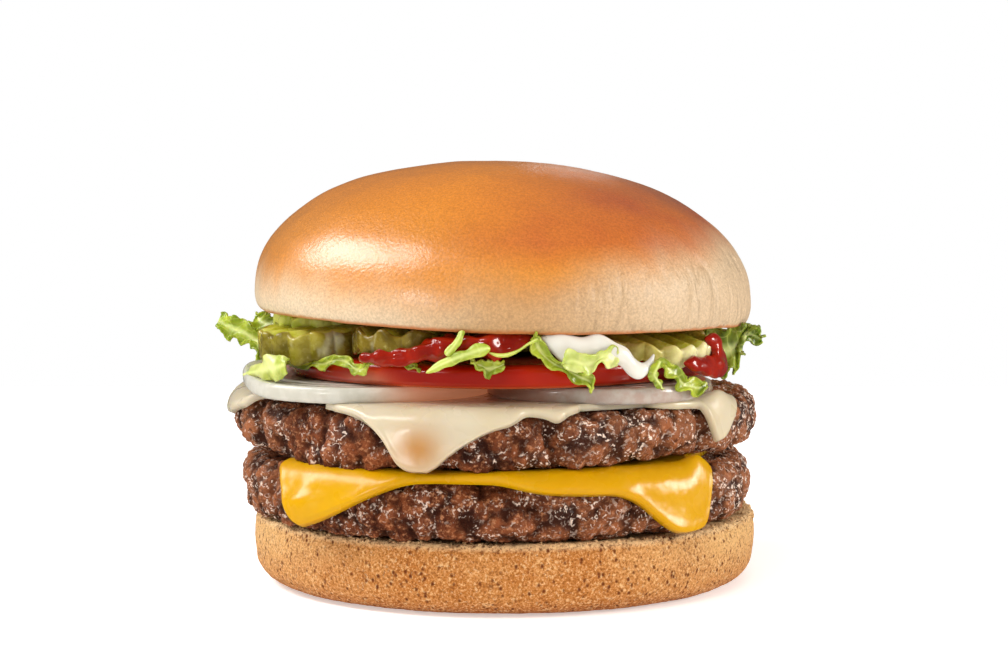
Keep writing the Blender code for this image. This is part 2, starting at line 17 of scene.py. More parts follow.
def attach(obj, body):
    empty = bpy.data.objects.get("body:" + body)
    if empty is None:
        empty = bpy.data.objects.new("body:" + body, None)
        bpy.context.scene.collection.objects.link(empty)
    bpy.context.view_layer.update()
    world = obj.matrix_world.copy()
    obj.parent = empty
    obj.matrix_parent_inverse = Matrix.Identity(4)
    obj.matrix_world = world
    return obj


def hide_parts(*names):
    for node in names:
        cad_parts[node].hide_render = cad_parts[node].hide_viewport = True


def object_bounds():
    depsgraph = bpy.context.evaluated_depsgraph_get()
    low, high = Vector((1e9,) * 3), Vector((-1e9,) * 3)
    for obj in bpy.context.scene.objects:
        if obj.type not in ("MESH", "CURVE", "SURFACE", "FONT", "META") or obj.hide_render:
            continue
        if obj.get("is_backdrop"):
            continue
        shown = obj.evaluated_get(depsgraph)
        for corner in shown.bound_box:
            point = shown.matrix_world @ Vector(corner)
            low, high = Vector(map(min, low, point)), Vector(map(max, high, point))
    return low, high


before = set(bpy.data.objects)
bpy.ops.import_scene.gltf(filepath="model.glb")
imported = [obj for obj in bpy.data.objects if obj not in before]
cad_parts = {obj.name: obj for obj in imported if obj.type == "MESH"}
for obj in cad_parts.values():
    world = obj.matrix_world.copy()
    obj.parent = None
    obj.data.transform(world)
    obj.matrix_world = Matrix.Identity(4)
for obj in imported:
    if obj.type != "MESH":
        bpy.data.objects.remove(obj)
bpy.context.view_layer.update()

# %% [markdown]
# ## Units, places and colours
#
# Blender works in metres, and a burger is easier to think of in millimetres, so sizes are written as
# a number times MM. A place in the stack is easiest as an angle round its axis, a radius and a
# height: 0 degrees is at +X, the photo's right, and 270 faces the camera. Colours are given as 0 to
# 255 values, which the shader needs in linear light.

# %% Units, places and colours
MM = 0.001


def place(angle, radius, height):
    """The point at an angle in degrees, and a radius and a height in millimetres."""
    turn = math.radians(angle)
    return Vector((radius * math.cos(turn) * MM, radius * math.sin(turn) * MM, height * MM))


def through(stations, count):
    """Evenly spread points on a smooth curve through a few stations, as an array (count, values)."""
    known = np.array([list(station) for station in stations], float)
    padded = np.vstack([2 * known[0] - known[1], known, 2 * known[-1] - known[-2]])
    position = np.linspace(0, len(known) - 1, count)
    span = np.minimum(position.astype(int), len(known) - 2)
    t = (position - span)[:, None]
    a, b, c, d = (padded[span + k] for k in range(4))
    square = (2 * a - 5 * b + 4 * c - d) * t**2
    cube = (3 * b - a - 3 * c + d) * t**3
    return 0.5 * (2 * b + (c - a) * t + square + cube)


def hill(values, middle, width):
    """A smooth bump: 1 at the middle, and close to 0 at twice the width from it."""
    return np.exp(-(((values - middle) / width) ** 2))


def colour(red, green, blue):
    """A colour given as 0 to 255 values, in linear light."""
    return tuple(
        ((v / 255 + 0.055) / 1.055) ** 2.4 if v > 10 else v / 3295 for v in (red, green, blue)
    ) + (1.0,)


print("front of the bun:", [round(v, 3) for v in place(270, 55, 60)])

# %% [markdown]
# ## Camera
#
# The photo is taken from just above the level of the bun's top edge with a long lens, which keeps
# the layers nearly parallel. The camera comes first.

# %% Camera
CAMERA_PLACE = (0.0, -0.554, 0.0988)
CAMERA_DIP = 4.76
camera_data = bpy.data.cameras.new("camera")
camera_data.lens = 90
camera_data.sensor_width = 36
camera_data.clip_start = 0.01
camera = bpy.data.objects.new("camera", camera_data)
camera.location = CAMERA_PLACE
camera.rotation_euler = (math.radians(90 - CAMERA_DIP), 0, 0)
bpy.context.scene.collection.objects.link(camera)
bpy.context.scene.camera = camera
bpy.context.scene.view_settings.view_transform = "Standard"
print(f"lens {camera_data.lens:.0f} mm, {-camera.location.y * 1000:.0f} mm away")

# %% [markdown]
# ## Building node trees
#
# Shaders and Geometry Nodes are both trees of nodes. Written out node by node they are long, so the
# output of a node is wrapped in a small class: adding or multiplying two of them adds the math node
# that does so. A formula in the script then reads like a formula, and the tree is the same one that
# could be wired by hand.

# %% Values of a node tree


class Value:
    """The output of a node. Arithmetic on it adds nodes to its tree."""

    def __init__(self, socket):
        self.socket, self.tree = socket, socket.id_data

    def math(self, operation, *others, clamp=False):
        return out(
            self.tree, "ShaderNodeMath", dict(enumerate((self, *others))),
            operation=operation, use_clamp=clamp,
        )

    def __add__(self, other):
        return self.math("ADD", other)

    def __sub__(self, other):
        return self.math("SUBTRACT", other)

    def __mul__(self, other):
        return self.math("MULTIPLY", other)

    def __truediv__(self, other):
        return self.math("DIVIDE", other)

    def __rsub__(self, other):
        return out(self.tree, "ShaderNodeMath", {0: other, 1: self}, operation="SUBTRACT")

    def __rtruediv__(self, other):
        return out(self.tree, "ShaderNodeMath", {0: other, 1: self}, operation="DIVIDE")

    def spread(self, low, high, to_low=0.0, to_high=1.0):
        """The value moved from the range low to high to another range, and kept inside it."""
        inputs = {0: self, 1: low, 2: high, 3: to_low, 4: to_high}
        return out(self.tree, "ShaderNodeMapRange", inputs, interpolation_type="SMOOTHSTEP")

    def blend(self, first, second):
        """Two colours blended by this share, which is 0 for the first and 1 for the second."""
        return mix(self.tree, self, first, second)

    def vector(self, operation, other):
        """This vector plus or times another one, or with SCALE made longer by a number."""
        inputs = {0: self, "Scale" if operation == "SCALE" else 1: other}
        return out(self.tree, "ShaderNodeVectorMath", inputs, operation=operation)

    def xyz(self):
        return [Value(socket) for socket in add(self.tree, "ShaderNodeSeparateXYZ", {0: self}).outputs]


# %% Node helpers


def connect(value, socket):
    """Wires a node's output to a socket, or sets the socket to a plain value."""
    if isinstance(value, Value):
        socket.id_data.links.new(value.socket, socket)
    else:
        socket.default_value = value


def add(tree, kind, inputs=None, **settings):
    """Adds a node. inputs maps a socket's name or number to what goes in."""
    made = tree.nodes.new(kind)
    for key, value in settings.items():
        setattr(made, key, value)
    for key, value in (inputs or {}).items():
        connect(value, made.inputs[key])
    return made


def out(tree, kind, inputs=None, **settings):
    """Adds a node and returns its first output."""
    return Value(add(tree, kind, inputs, **settings).outputs[0])


def mix(tree, share, first, second, way="MIX"):
    made = add(tree, "ShaderNodeMix", {0: share, 6: first, 7: second}, data_type="RGBA", blend_type=way)
    return Value(made.outputs[2])


def here(tree):
    """Where a point is: its position in Geometry Nodes, and its Object coordinates in a finish."""
    if tree.type == "GEOMETRY":
        return out(tree, "GeometryNodeInputPosition")
    return Value(add(tree, "ShaderNodeTexCoord").outputs["Object"])


def stored(tree, name):
    """The number that is stored on the mesh under a name."""
    if tree.type == "GEOMETRY":
        return out(tree, "GeometryNodeInputNamedAttribute", {"Name": name}, data_type="FLOAT")
    return Value(add(tree, "ShaderNodeAttribute", attribute_name=name).outputs["Fac"])


# %% Patterns and finishes


def specks(tree, size, detail=2, roughness=0.5, at=None, stretch=(1, 1, 1), kind="noise"):
    """A noise or cell pattern whose features are about size metres wide."""
    where = (at or here(tree)).vector("MULTIPLY", [s / size for s in stretch])
    if kind == "noise":
        inputs = {"Vector": where, "Scale": 1.0, "Detail": detail, "Roughness": roughness}
        return out(tree, "ShaderNodeTexNoise", inputs)
    cells = add(tree, "ShaderNodeTexVoronoi", {"Vector": where, "Scale": 1.0}, feature=kind)
    return Value(cells.outputs["Distance"])


def stirred(where, scale, shift):
    """A place moved by noise, which bends and stretches the pattern that reads it."""
    swirl = add(where.tree, "ShaderNodeTexNoise", {"Vector": where, "Scale": scale, "Detail": 2.0})
    return where.vector("ADD", Value(swirl.outputs["Color"]).vector("SCALE", shift))


def bump(height, strength, distance):
    return out(height.tree, "ShaderNodeBump", {"Height": height, "Strength": strength, "Distance": distance})


def new_finish(name, paint):
    """A material. paint(tree) returns what goes into each of the shader's inputs."""
    made = bpy.data.materials.new(name)
    made.use_nodes = True
    shader = made.node_tree.nodes["Principled BSDF"]
    for socket, value in paint(made.node_tree).items():
        connect(value, shader.inputs[socket])
    print(f"finish {name}: {len(made.node_tree.nodes)} nodes")
    return made


# %% [markdown]
# ## Floor and light
#
# The burger stands on a plain pale floor under soft studio light. A large soft box at the left makes
# the broad sheen on the bun, with a small one inside it for its bright core, one at the right lights
# the edge, and one in front fills the shadows without a highlight of its own. Three small ones give
# the wet pieces their sparks. The world is white where the camera sees it, dimmer as a light, and
# dimmer still in reflections, so the background stays clean while wet surfaces keep their contrast.

# %% Floor
FLOOR_DROP = 0.2 * MM
WORLD_LIGHT = 0.36
WORLD_SHEEN = 0.10


def pale_floor(tree):
    return {
        "Base Color": (0.93, 0.93, 0.93, 1), "Roughness": 0.8, "Specular IOR Level": 0.0,
        "Emission Color": (1, 1, 1, 1), "Emission Strength": 0.42,
    }


floor_mesh = bpy.data.meshes.new("floor")
floor_mesh.from_pydata([(-2, -1.4, 0), (2, -1.4, 0), (2, 0.4, 0), (-2, 0.4, 0)], [], [(0, 1, 2, 3)])
floor_mesh.transform(Matrix.Translation((0, 0, -FLOOR_DROP)))
floor_mesh.materials.append(new_finish("pale_floor", pale_floor))
floor = bpy.data.objects.new("floor", floor_mesh)
floor.visible_glossy = False
bpy.context.scene.collection.objects.link(floor)
floor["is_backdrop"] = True

world = bpy.data.worlds.new("studio")
world.use_nodes = True
sky = world.node_tree
background = sky.nodes["Background"]
ray = {socket.name: Value(socket) for socket in add(sky, "ShaderNodeLightPath").outputs}
lit = out(sky, "ShaderNodeMapRange", {0: ray["Is Glossy Ray"], 3: WORLD_LIGHT, 4: WORLD_SHEEN})
strength = out(sky, "ShaderNodeMapRange", {0: ray["Is Camera Ray"], 3: lit, 4: 1.0})
connect((1, 1, 1, 1), background.inputs["Color"])
connect(strength, background.inputs["Strength"])
bpy.context.scene.world = world

# %% Lights
LIGHT_AIM = Vector((0, 0, 50 * MM))
WHITE, WARM, WARMER = (1, 1, 1), (1, 0.97, 0.93), (1, 0.96, 0.9)
LIGHTS = (
    # name, azimuth, elevation and distance, size, power, roll, tint, whether it makes highlights
    ("key_left", 178, 40, 0.9, (0.56, 0.30), 5.4, 32, WHITE, True),
    ("key_lobe", 210, 52, 0.9, (0.11, 0.18), 0.95, 32, WHITE, True),
    ("rim_right", 349, 15, 0.9, (0.22, 0.30), 4.8, 0, WARM, True),
    ("front_fill", 262, 52, 1.1, (0.9, 0.5), 4.4, 0, WARMER, False),
    ("front_spark", 230, 10, 1.0, (0.11, 0.08), 1.2, 0, WHITE, True),
    ("side_spark", 300, 8, 1.0, (0.06, 0.05), 0.2, 0, WHITE, True),
    ("back_low", 85, 16, 1.0, (0.08, 0.04), 0.035, 0, WHITE, True),
)
for name, azimuth, elevation, distance, size, power, roll, tint, mirrored in LIGHTS:
    light = bpy.data.lights.new(name, "AREA")
    light.shape = "RECTANGLE"
    light.size, light.size_y = size
    light.energy = power
    light.color = tint
    lamp = bpy.data.objects.new(name, light)
    flat, high = distance * math.cos(math.radians(elevation)), distance * math.sin(math.radians(elevation))
    lamp.location = LIGHT_AIM + place(azimuth, flat / MM, high / MM)
    facing = (LIGHT_AIM - lamp.location).to_track_quat("-Z", "Y").to_matrix()
    lamp.rotation_euler = (facing @ Matrix.Rotation(math.radians(roll), 3, "Z")).to_euler()
    lamp.visible_glossy = mirrored
    bpy.context.scene.collection.objects.link(lamp)
print(len(LIGHTS), "soft boxes")

# %% [markdown]
# ## From points to pieces
#
# Most layers are surfaces of rings: a profile that is repeated round the stack. A grid of points
# becomes a mesh with a UV map, and a ring that shrinks to one point closes as a pole. Geometry Nodes
# then work on that mesh, and the result is kept as a plain mesh, so that nothing is left to evaluate.

# %% From points to a mesh


def grid_mesh(name, points, wrap=True, **values):
    """An object of quads through points, an array (rows, columns, 3), with values stored on its points.
    wrap joins the last column to the first."""
    rows, columns = points.shape[:2]
    across = columns if wrap else columns - 1
    i, j = (grid.ravel() for grid in np.meshgrid(np.arange(rows - 1), np.arange(across), indexing="ij"))
    corners = ((i, j), (i, j + 1), (i + 1, j + 1), (i + 1, j))
    mesh = bpy.data.meshes.new(name)
    quads = np.stack([row * columns + column % columns for row, column in corners], axis=1)
    mesh.from_pydata(points.reshape(-1, 3).tolist(), [], quads.tolist())
    uv = np.stack([np.stack([column / across, row / (rows - 1)], 1) for row, column in corners], 1)
    mesh.uv_layers.new(name="UVMap").data.foreach_set("uv", uv.reshape(-1).astype(np.float32))
    made = bpy.data.objects.new(name, mesh)
    bpy.context.scene.collection.objects.link(made)
    give(made, **values)
    return made


def give(piece, **values):
    """Stores numbers on the piece's points, for its nodes and its finish to read."""
    for name, numbers in values.items():
        attribute = piece.data.attributes.new(name, "FLOAT", "POINT")
        attribute.data.foreach_set("value", np.asarray(numbers, np.float32).ravel())


def close_poles(piece):
    """Merges points that coincide, and points the faces outwards."""
    shape = bmesh.new()
    shape.from_mesh(piece.data)
    bmesh.ops.remove_doubles(shape, verts=shape.verts, dist=0.002 * MM)
    bmesh.ops.recalc_face_normals(shape, faces=shape.faces)
    shape.to_mesh(piece.data)
    shape.free()
    piece.data.shade_smooth()


def wobble(angle, seed, share):
    """A gentle unevenness of an outline, as a factor near 1. The solids use the same rule."""
    waves = (
        0.6 * np.cos(2 * angle + seed) + 0.45 * np.cos(3 * angle + 2.3 * seed)
        + 0.3 * np.cos(5 * angle - seed)
    )
    return 1 + share * waves


def turned(angles, radii, heights, centre=(0.0, 0.0)):
    """Points of rings: angles (columns,), radii and heights (rows, columns)."""
    x = centre[0] + radii * np.cos(angles)
    y = centre[1] + radii * np.sin(angles)
    return np.stack([x, y, heights + 0 * radii], axis=-1)


def round_turns(count):
    return np.linspace(0, math.tau, count, endpoint=False)


# %% From a mesh to a finished piece


def settle(piece):
    """Keeps what the piece's modifiers make of it as a plain mesh."""
    graph = bpy.context.evaluated_depsgraph_get()
    mesh = bpy.data.meshes.new_from_object(piece.evaluated_get(graph), depsgraph=graph)
    piece.modifiers.clear()
    piece.data = mesh
    piece.data.shade_smooth()


def run_tree(piece, tree, finish, values):
    """Runs a Geometry Nodes tree on the piece with a finish and values for its named inputs."""
    modifier = piece.modifiers.new(tree.name, "NODES")
    modifier.node_group = tree
    wanted = {"Finish": finish, **values}
    for item in tree.interface.items_tree:
        if item.item_type == "SOCKET" and item.in_out == "INPUT" and item.name in wanted:
            modifier[item.identifier] = wanted[item.name]
    settle(piece)


def serve(piece, node):
    """Puts the piece in place of its solid."""
    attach(piece, "root")
    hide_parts(node)
    triangles = sum(len(face.vertices) - 2 for face in piece.data.polygons)
    print(f"{piece.name}: {triangles} triangles")


# %% [markdown]
# A Geometry Nodes tree is built once and run on many pieces. Its named inputs are what differs from
# piece to piece, and it ends by turning instances into real mesh and putting on the finish.

# %% Geometry Nodes trees
SOCKET_KINDS = {float: "Float", int: "Int", tuple: "Vector", Euler: "Rotation"}


def new_tree(name, sizes):
    """A Geometry Nodes tree, and its inputs by name: a mesh, the sizes with their defaults, and a finish."""
    tree = bpy.data.node_groups.new(name, "GeometryNodeTree")
    tree.interface.new_socket("Geometry", in_out="INPUT", socket_type="NodeSocketGeometry")
    for label, value in sizes.items():
        kind = "NodeSocket" + SOCKET_KINDS[type(value)]
        tree.interface.new_socket(label, in_out="INPUT", socket_type=kind).default_value = value
    tree.interface.new_socket("Finish", in_out="INPUT", socket_type="NodeSocketMaterial")
    tree.interface.new_socket("Geometry", in_out="OUTPUT", socket_type="NodeSocketGeometry")
    return tree, {socket.name: Value(socket) for socket in tree.nodes.new("NodeGroupInput").outputs}


def end_tree(tree, given, shape):
    """Ends a tree: instances become real mesh and take the finish."""
    real = out(tree, "GeometryNodeRealizeInstances", {0: shape})
    dressed = out(tree, "GeometryNodeSetMaterial", {"Geometry": real, "Material": given["Finish"]})
    add(tree, "NodeGroupOutput", {0: dressed})
    print(f"{tree.name}: {len(tree.nodes)} nodes")


def moved(shape, offset):
    return out(shape.tree, "GeometryNodeSetPosition", {"Geometry": shape, "Offset": offset})


def pushed(shape, distance):
    """Moves each point along its normal."""
    return moved(shape, out(shape.tree, "GeometryNodeInputNormal").vector("SCALE", distance))


def noise_in(where, size, seed, stretch=(1, 1, 1), detail=2.0):
    """Noise from about -0.5 to 0.5 at a position, for a Geometry Nodes tree."""
    inputs = {
        "Vector": where.vector("MULTIPLY", stretch), "W": seed, "Scale": 1.0 / size, "Detail": detail,
        "Roughness": 0.5,
    }
    return out(where.tree, "ShaderNodeTexNoise", inputs, noise_dimensions="4D") - 0.5


# %% [markdown]
# ## Baked skin
#
# Crust isn't smooth: it has long soft dents from proofing, fine pits, and creases where the dough
# was tucked under. A Geometry Nodes tree moves each point along its normal by three noises of
# different size. The creases only show where the mesh says so, in an attribute named creases.

# %% The tree for baked skin
baked, given = new_tree("Baked skin", {
    "Dent size": 20 * MM, "Dent depth": 0.4 * MM, "Pit size": 1.2 * MM, "Pit depth": 0.03 * MM,
    "Crease width": 3 * MM, "Crease depth": 0.4 * MM, "Seed": 0.0,
})
where, seed = here(baked), given["Seed"]
dents = noise_in(where, given["Dent size"], seed) * given["Dent depth"]
pits = noise_in(where, given["Pit size"], seed) * given["Pit depth"]
fold = noise_in(where, given["Crease width"], seed, stretch=(1, 1, 0.2), detail=1.0)
sharp = (fold - 0.03).math("MAXIMUM", 0.0) * -8.0
creased = sharp * stored(baked, "creases") * given["Crease depth"]
end_tree(baked, given, pushed(given["Geometry"], dents * 2.0 + (pits * 2.0 + creased)))

# %% [markdown]
# ## The top bun
#
# A real bun bakes golden on top, where it is nearest the heat and was brushed, and stays pale where
# it touched its neighbours at the sides. The colour follows the height above a wavy line, with noise
# to keep the border between gold and cream uneven, and a thin toasted line at the cut. The mesh
# stores how high each point lies, so the finish can be painted by rule and not by hand.

# %% Finish of the crust
GOLD, HIGH_GOLD, RED_GOLD = colour(208, 129, 32), colour(226, 136, 40), colour(183, 90, 43)
CREAM, TAN, DULL_CREAM = colour(216, 192, 158), colour(190, 142, 86), colour(190, 158, 122)
TOAST = colour(190, 112, 54)


def crust(tree):
    """Gold above, cream at the sides, toasted at the cut edge."""
    rise, over, dull = (stored(tree, name) for name in ("rise", "over_line", "dull"))
    mottle = specks(tree, 11 * MM, 3, stretch=(1, 1, 0.45)) - 0.5
    gold = (over + mottle * (7 * MM)).spread(-5.5 * MM, 6.5 * MM)
    red = stored(tree, "blush") * specks(tree, 22 * MM).spread(0.3, 0.62, 0.7, 1.0)
    # painted shade on the side: tan low at the front centre, where the lights reach least, and a darker cream
    # at the right, against the light from the right
    side = (dull * 0.7).blend(stored(tree, "tan").blend(CREAM, TAN), DULL_CREAM)
    top = red.blend(rise.spread(16 * MM, 31 * MM).blend(GOLD, HIGH_GOLD), RED_GOLD)
    grain = specks(tree, 0.55 * MM, 3, 0.7).spread(0.3, 0.7, 0.84, 1.14)
    grey = out(tree, "ShaderNodeCombineColor", {0: grain, 1: grain, 2: grain})
    cut = (rise - specks(tree, 2.5 * MM, 3) * (0.8 * MM)).spread(-0.2 * MM, 0.6 * MM, 0.9, 0.0)
    # thin upright wrinkles where the side baked pale
    folds = specks(tree, 4.2 * MM, stretch=(1, 1, 0.24)).spread(0.48, 0.72) * stored(tree, "creases")
    height = specks(tree, 0.6 * MM, 3, 0.6) + specks(tree, 2.6 * MM) * 0.8 - folds * 3.2
    return {
        "Base Color": cut.blend(mix(tree, 1.0, gold.blend(side, top), grey, "MULTIPLY"), TOAST),
        "Roughness": 0.42, "Specular IOR Level": 0.4, "Normal": bump(height, 0.8, 0.26 * MM),
        "Coat Weight": over.spread(-7 * MM, 5 * MM, 0.12, 0.9) * (1.0 - dull),
        "Coat Roughness": 0.24, "Coat IOR": 1.65,
        "Coat Normal": bump(specks(tree, 0.7 * MM, roughness=0.6), 0.6, 0.13 * MM),
    }


crust_finish = new_finish("baked_crust", crust)

# %% [markdown]
# The shape is a superellipse turned round an upright axis, a little squarer than a dome, with a small
# tuck at the cut. It sits tipped towards the right. The gold starts lower where the oven was hotter,
# which a short list of heights round the bun gives.

# %% Shape of the top bun
BUN_RADIUS = 54.6 * MM
BUN_TOP_HEIGHT = 33.5 * MM
BUN_TOP_BELLY = 4.0 * MM
BUN_TOP_TUCK = 1.6 * MM
BUN_TOP_POWER = 2.12
BUN_TOP_PLACE = Matrix.Translation((-0.6 * MM, 0, 57.7 * MM)) @ Matrix.Rotation(math.radians(1.8), 4, "Y")
# how high above the cut the gold begins, in millimetres, by angle: the right side baked palest
GOLD_LINE = (
    (0, 19), (40, 15), (90, 12), (140, 10), (180, 8.2), (208, 7.6), (230, 6.2), (255, 6.4), (270, 7.8),
    (280, 9.2), (294, 11.8), (303, 14.0), (315, 15.8), (325, 17.0), (339, 18.0), (360, 19),
)
turns = round_turns(420)
profile = [(share * (BUN_RADIUS - BUN_TOP_TUCK), 0.0) for share in (0.0, 0.5, 0.8, 0.95, 0.985)]
for t in np.radians(np.linspace(90, 8, 9)):
    profile.append((BUN_RADIUS - BUN_TOP_TUCK * (1 - math.cos(t)), BUN_TOP_BELLY * (1 - math.sin(t))))
for t in np.radians(np.append(np.linspace(0, 80, 84), [83, 86, 88, 90])):
    bend = [max(side, 0.0) ** (2 / BUN_TOP_POWER) for side in (math.cos(t), math.sin(t))]
    profile.append((BUN_RADIUS * bend[0], BUN_TOP_BELLY + (BUN_TOP_HEIGHT - BUN_TOP_BELLY) * bend[1]))
profile = np.array(profile)
radii = profile[:, :1] * wobble(turns, 2.1, 0.006)
heights = np.repeat(profile[:, 1:], len(turns), axis=1)
rise = heights / MM
lines = np.interp(np.degrees(turns), *zip(*GOLD_LINE))
to_right = np.cos(turns - math.radians(330)) * radii / BUN_RADIUS
to_pale = np.clip(np.cos(turns - math.radians(325)) * 2.4 - 1.0, 0, 1)
bun_top = grid_mesh(
    "top_bun", turned(turns, radii, heights), rise=heights, over_line=heights - lines * MM,
    # painted shade: how far the side turns tan, most at the front centre
    tan=hill(np.degrees(turns), 276, 22) + 0 * heights,
    blush=np.clip((to_right - 0.15) * 2.0, 0, 1) * np.clip((rise - 12) / 6, 0, 1),
    creases=np.clip((lines + 1 - rise) / 4, 0, 1) * (rise > 0.5) * (0.12 + 0.88 * to_pale),
    # a matte coat at the right, and painted shade that darkens the cream there
    dull=0.8 * to_pale * np.clip((26 - rise) / 6, 0, 1),
)
close_poles(bun_top)
run_tree(bun_top, baked, crust_finish, {
    "Dent size": 24 * MM, "Dent depth": 0.9 * MM, "Crease depth": 0.22 * MM, "Crease width": 2.4 * MM,
    "Seed": 5.0,
})
bun_top.data.transform(BUN_TOP_PLACE)
serve(bun_top, "bun_top")

# %% [markdown]
# ## The bottom bun
#
# The lower half is sliced from the same roll, so its side is soft, golden and full of small pores,
# and its rim shows torn crumb. The pores are a cell pattern in the finish, because they are too small
# and too many to be worth a mesh.

# %% Finish of the lower bun
GOLDEN_TAN, DEEP_TAN, BASE_TAN = colour(210, 138, 70), colour(196, 120, 52), colour(170, 92, 38)
PALE_RIM, TORN_RIM = colour(236, 186, 120), colour(254, 216, 164)
FLECK, LIGHT_GRAIN = colour(246, 206, 152), colour(248, 202, 140)
PORE, DEEP_PORE = colour(128, 66, 24), colour(120, 56, 18)


def porous(tree):
    rise = stored(tree, "rise")
    pores = specks(tree, 1.3 * MM, kind="F1", stretch=(1, 1, 0.75)).spread(0.1, 0.36, 1.0, 0.0)
    pores = pores * specks(tree, 2.6 * MM).spread(0.36, 0.56)
    grain = specks(tree, 0.5 * MM, 3, 0.75)
    base = specks(tree, 9 * MM, 3).spread(0.35, 0.68).blend(GOLDEN_TAN, DEEP_TAN)
    for share, layer in (
        # painted light: paler towards the rim at the left and right, while the front centre stays darker, as
        # painted shade under the patty
        (stored(tree, "pale") * rise.spread(2 * MM, 14 * MM, 0.2, 0.95), PALE_RIM),
        (rise.spread(0.0, 4 * MM, 0.75, 0.0), BASE_TAN),
        (rise.spread(13.3 * MM, 14.8 * MM, 0.0, 0.7), TORN_RIM),
        (specks(tree, 0.8 * MM).spread(0.58, 0.68, 0.0, 0.6), FLECK),
        (grain.spread(0.5, 0.68, 0.0, 0.75), LIGHT_GRAIN),
        (grain.spread(0.34, 0.5, 0.75, 0.0), PORE),
        (pores, DEEP_PORE),
    ):
        base = share.blend(base, layer)
    return {
        "Base Color": base, "Roughness": 0.8, "Specular IOR Level": 0.2,
        "Normal": bump(grain * 1.6 - pores, 1.0, 0.45 * MM),
    }


porous_finish = new_finish("porous_crust", porous)

# %% Shape of the bottom bun
BUN_BOTTOM_HEIGHT = 15.0 * MM
FOOT_ROUND, FOOT_RISE, RIM_ROUND = 7 * MM, 6 * MM, 1.2 * MM
turns = round_turns(480)
profile = [(BUN_RADIUS * share, 0.0) for share in (0.0, 0.4, 0.7, 0.85)]
for t in np.radians(np.linspace(0, 90, 18)):
    profile.append((BUN_RADIUS - FOOT_ROUND * (1 - math.sin(t)), FOOT_RISE * (1 - math.cos(t))))
for height in np.linspace(6.6, 13.6, 16):
    profile.append((BUN_RADIUS + 0.35 * MM * math.sin(math.pi * (height - 6) / 8), height * MM))
for t in np.radians(np.linspace(10, 90, 7)):
    rim_height = BUN_BOTTOM_HEIGHT - RIM_ROUND + RIM_ROUND * math.sin(t)
    profile.append((BUN_RADIUS - RIM_ROUND * (1 - math.cos(t)), rim_height))
profile += [(BUN_RADIUS * share, BUN_BOTTOM_HEIGHT) for share in (0.96, 0.94, 0.91, 0.86, 0.6, 0.0)]
profile = np.array(profile)
radii = profile[:, :1] * wobble(turns, 0.7, 0.005)
heights = np.repeat(profile[:, 1:], len(turns), axis=1)
bun_bottom = grid_mesh(
    "bottom_bun", turned(turns, radii, heights), rise=heights,
    creases=hill(heights / MM, 14.6, 1.0) * (radii > 0.88 * BUN_RADIUS),
    # painted light by angle: none at the front centre, which the patty shades, and full at the sides
    pale=np.clip((np.abs(np.degrees(turns) - 266) - 22) / 42, 0, 1) + 0 * heights,
)
close_poles(bun_bottom)
run_tree(bun_bottom, baked, porous_finish, {
    "Dent size": 14 * MM, "Dent depth": 0.25 * MM, "Pit size": 1.4 * MM, "Pit depth": 0.16 * MM,
    "Crease width": 2.4 * MM, "Crease depth": 0.5 * MM, "Seed": 8.0,
})

# %% [markdown]
# The knife tears small crumbs loose along the rim. Geometry Nodes scatter them: points are placed
# only where the attribute named rim is high, and each one gets a tiny rough ball, turned and scaled
# at random.

# %% Crumbs on the rim
FULL_TURN = (6.28, 6.28, 6.28)
crumb_tree, given = new_tree("Crumbs", {"Density": 300000.0, "Size": 0.35 * MM, "Seed": 1})
amount = stored(crumb_tree, "rim") * given["Density"]
points = out(crumb_tree, "GeometryNodeDistributePointsOnFaces", {
    "Mesh": given["Geometry"], "Density": amount, "Seed": given["Seed"],
})
ball = out(crumb_tree, "GeometryNodeMeshIcoSphere", {"Radius": given["Size"], "Subdivisions": 2})
where = here(crumb_tree)
ball = moved(ball, where.vector("SCALE", noise_in(where, 0.5 * MM, 3.0) * 1.6))
turn = out(
    crumb_tree, "FunctionNodeRandomValue", {"Min": (0, 0, 0), "Max": FULL_TURN, "Seed": 2},
    data_type="FLOAT_VECTOR",
)
size = add(crumb_tree, "FunctionNodeRandomValue", {2: 0.35, 3: 1.25, "Seed": 3}, data_type="FLOAT").outputs[1]
crumbs = out(crumb_tree, "GeometryNodeInstanceOnPoints", {
    "Points": points, "Instance": ball, "Rotation": turn, "Scale": Value(size),
})
both = add(crumb_tree, "GeometryNodeJoinGeometry")
for shape in (given["Geometry"], crumbs):
    connect(shape, both.inputs[0])
end_tree(crumb_tree, given, Value(both.outputs[0]))

# the mesh was displaced above, so its rim is found again by height and radius
give(bun_bottom, rim=[
    max(0.0, 1 - abs(v.co.z / MM - 14.3) / 1.1) * (math.hypot(v.co.x, v.co.y) > 0.95 * BUN_RADIUS)
    for v in bun_bottom.data.vertices
])
run_tree(bun_bottom, crumb_tree, porous_finish, {"Density": 1.1e6, "Size": 0.38 * MM, "Seed": 4})
serve(bun_bottom, "bun_bottom")

# %% [markdown]
# ## The patties
#
# A grilled patty is pressed from ground meat: its side is a wall of small rounded grains with deep
# dark gaps, wet with fat that sparkles. Grains of two sizes come from a cell pattern in Geometry
# Nodes, which pushes each cell out as a pebble and stores how deep a point lies, so that the finish
# can paint shade into the gaps.

# %% The tree for ground meat
meat_tree, given = new_tree("Ground meat", {
    "Grain size": 2.6 * MM, "Grain depth": 0.9 * MM, "Crumb size": 1.1 * MM, "Crumb depth": 0.45 * MM,
    "Seed": 0.0,
})
where = here(meat_tree)
swirled = stirred(where, 400.0, 1.6 * MM)


def pebbles(at, size, seed):
    """1 on top of each rounded cell and 0 in the gaps between cells."""
    inputs = {"Vector": at, "W": seed, "Scale": 1.0 / size, "Smoothness": 0.35}
    cells = add(at.tree, "ShaderNodeTexVoronoi", inputs, voronoi_dimensions="4D", feature="SMOOTH_F1")
    gap = (Value(cells.outputs["Distance"]) * 1.25).math("POWER", 2.0)
    return out(at.tree, "ShaderNodeMath", {0: 1.0, 1: gap}, operation="SUBTRACT", use_clamp=True)


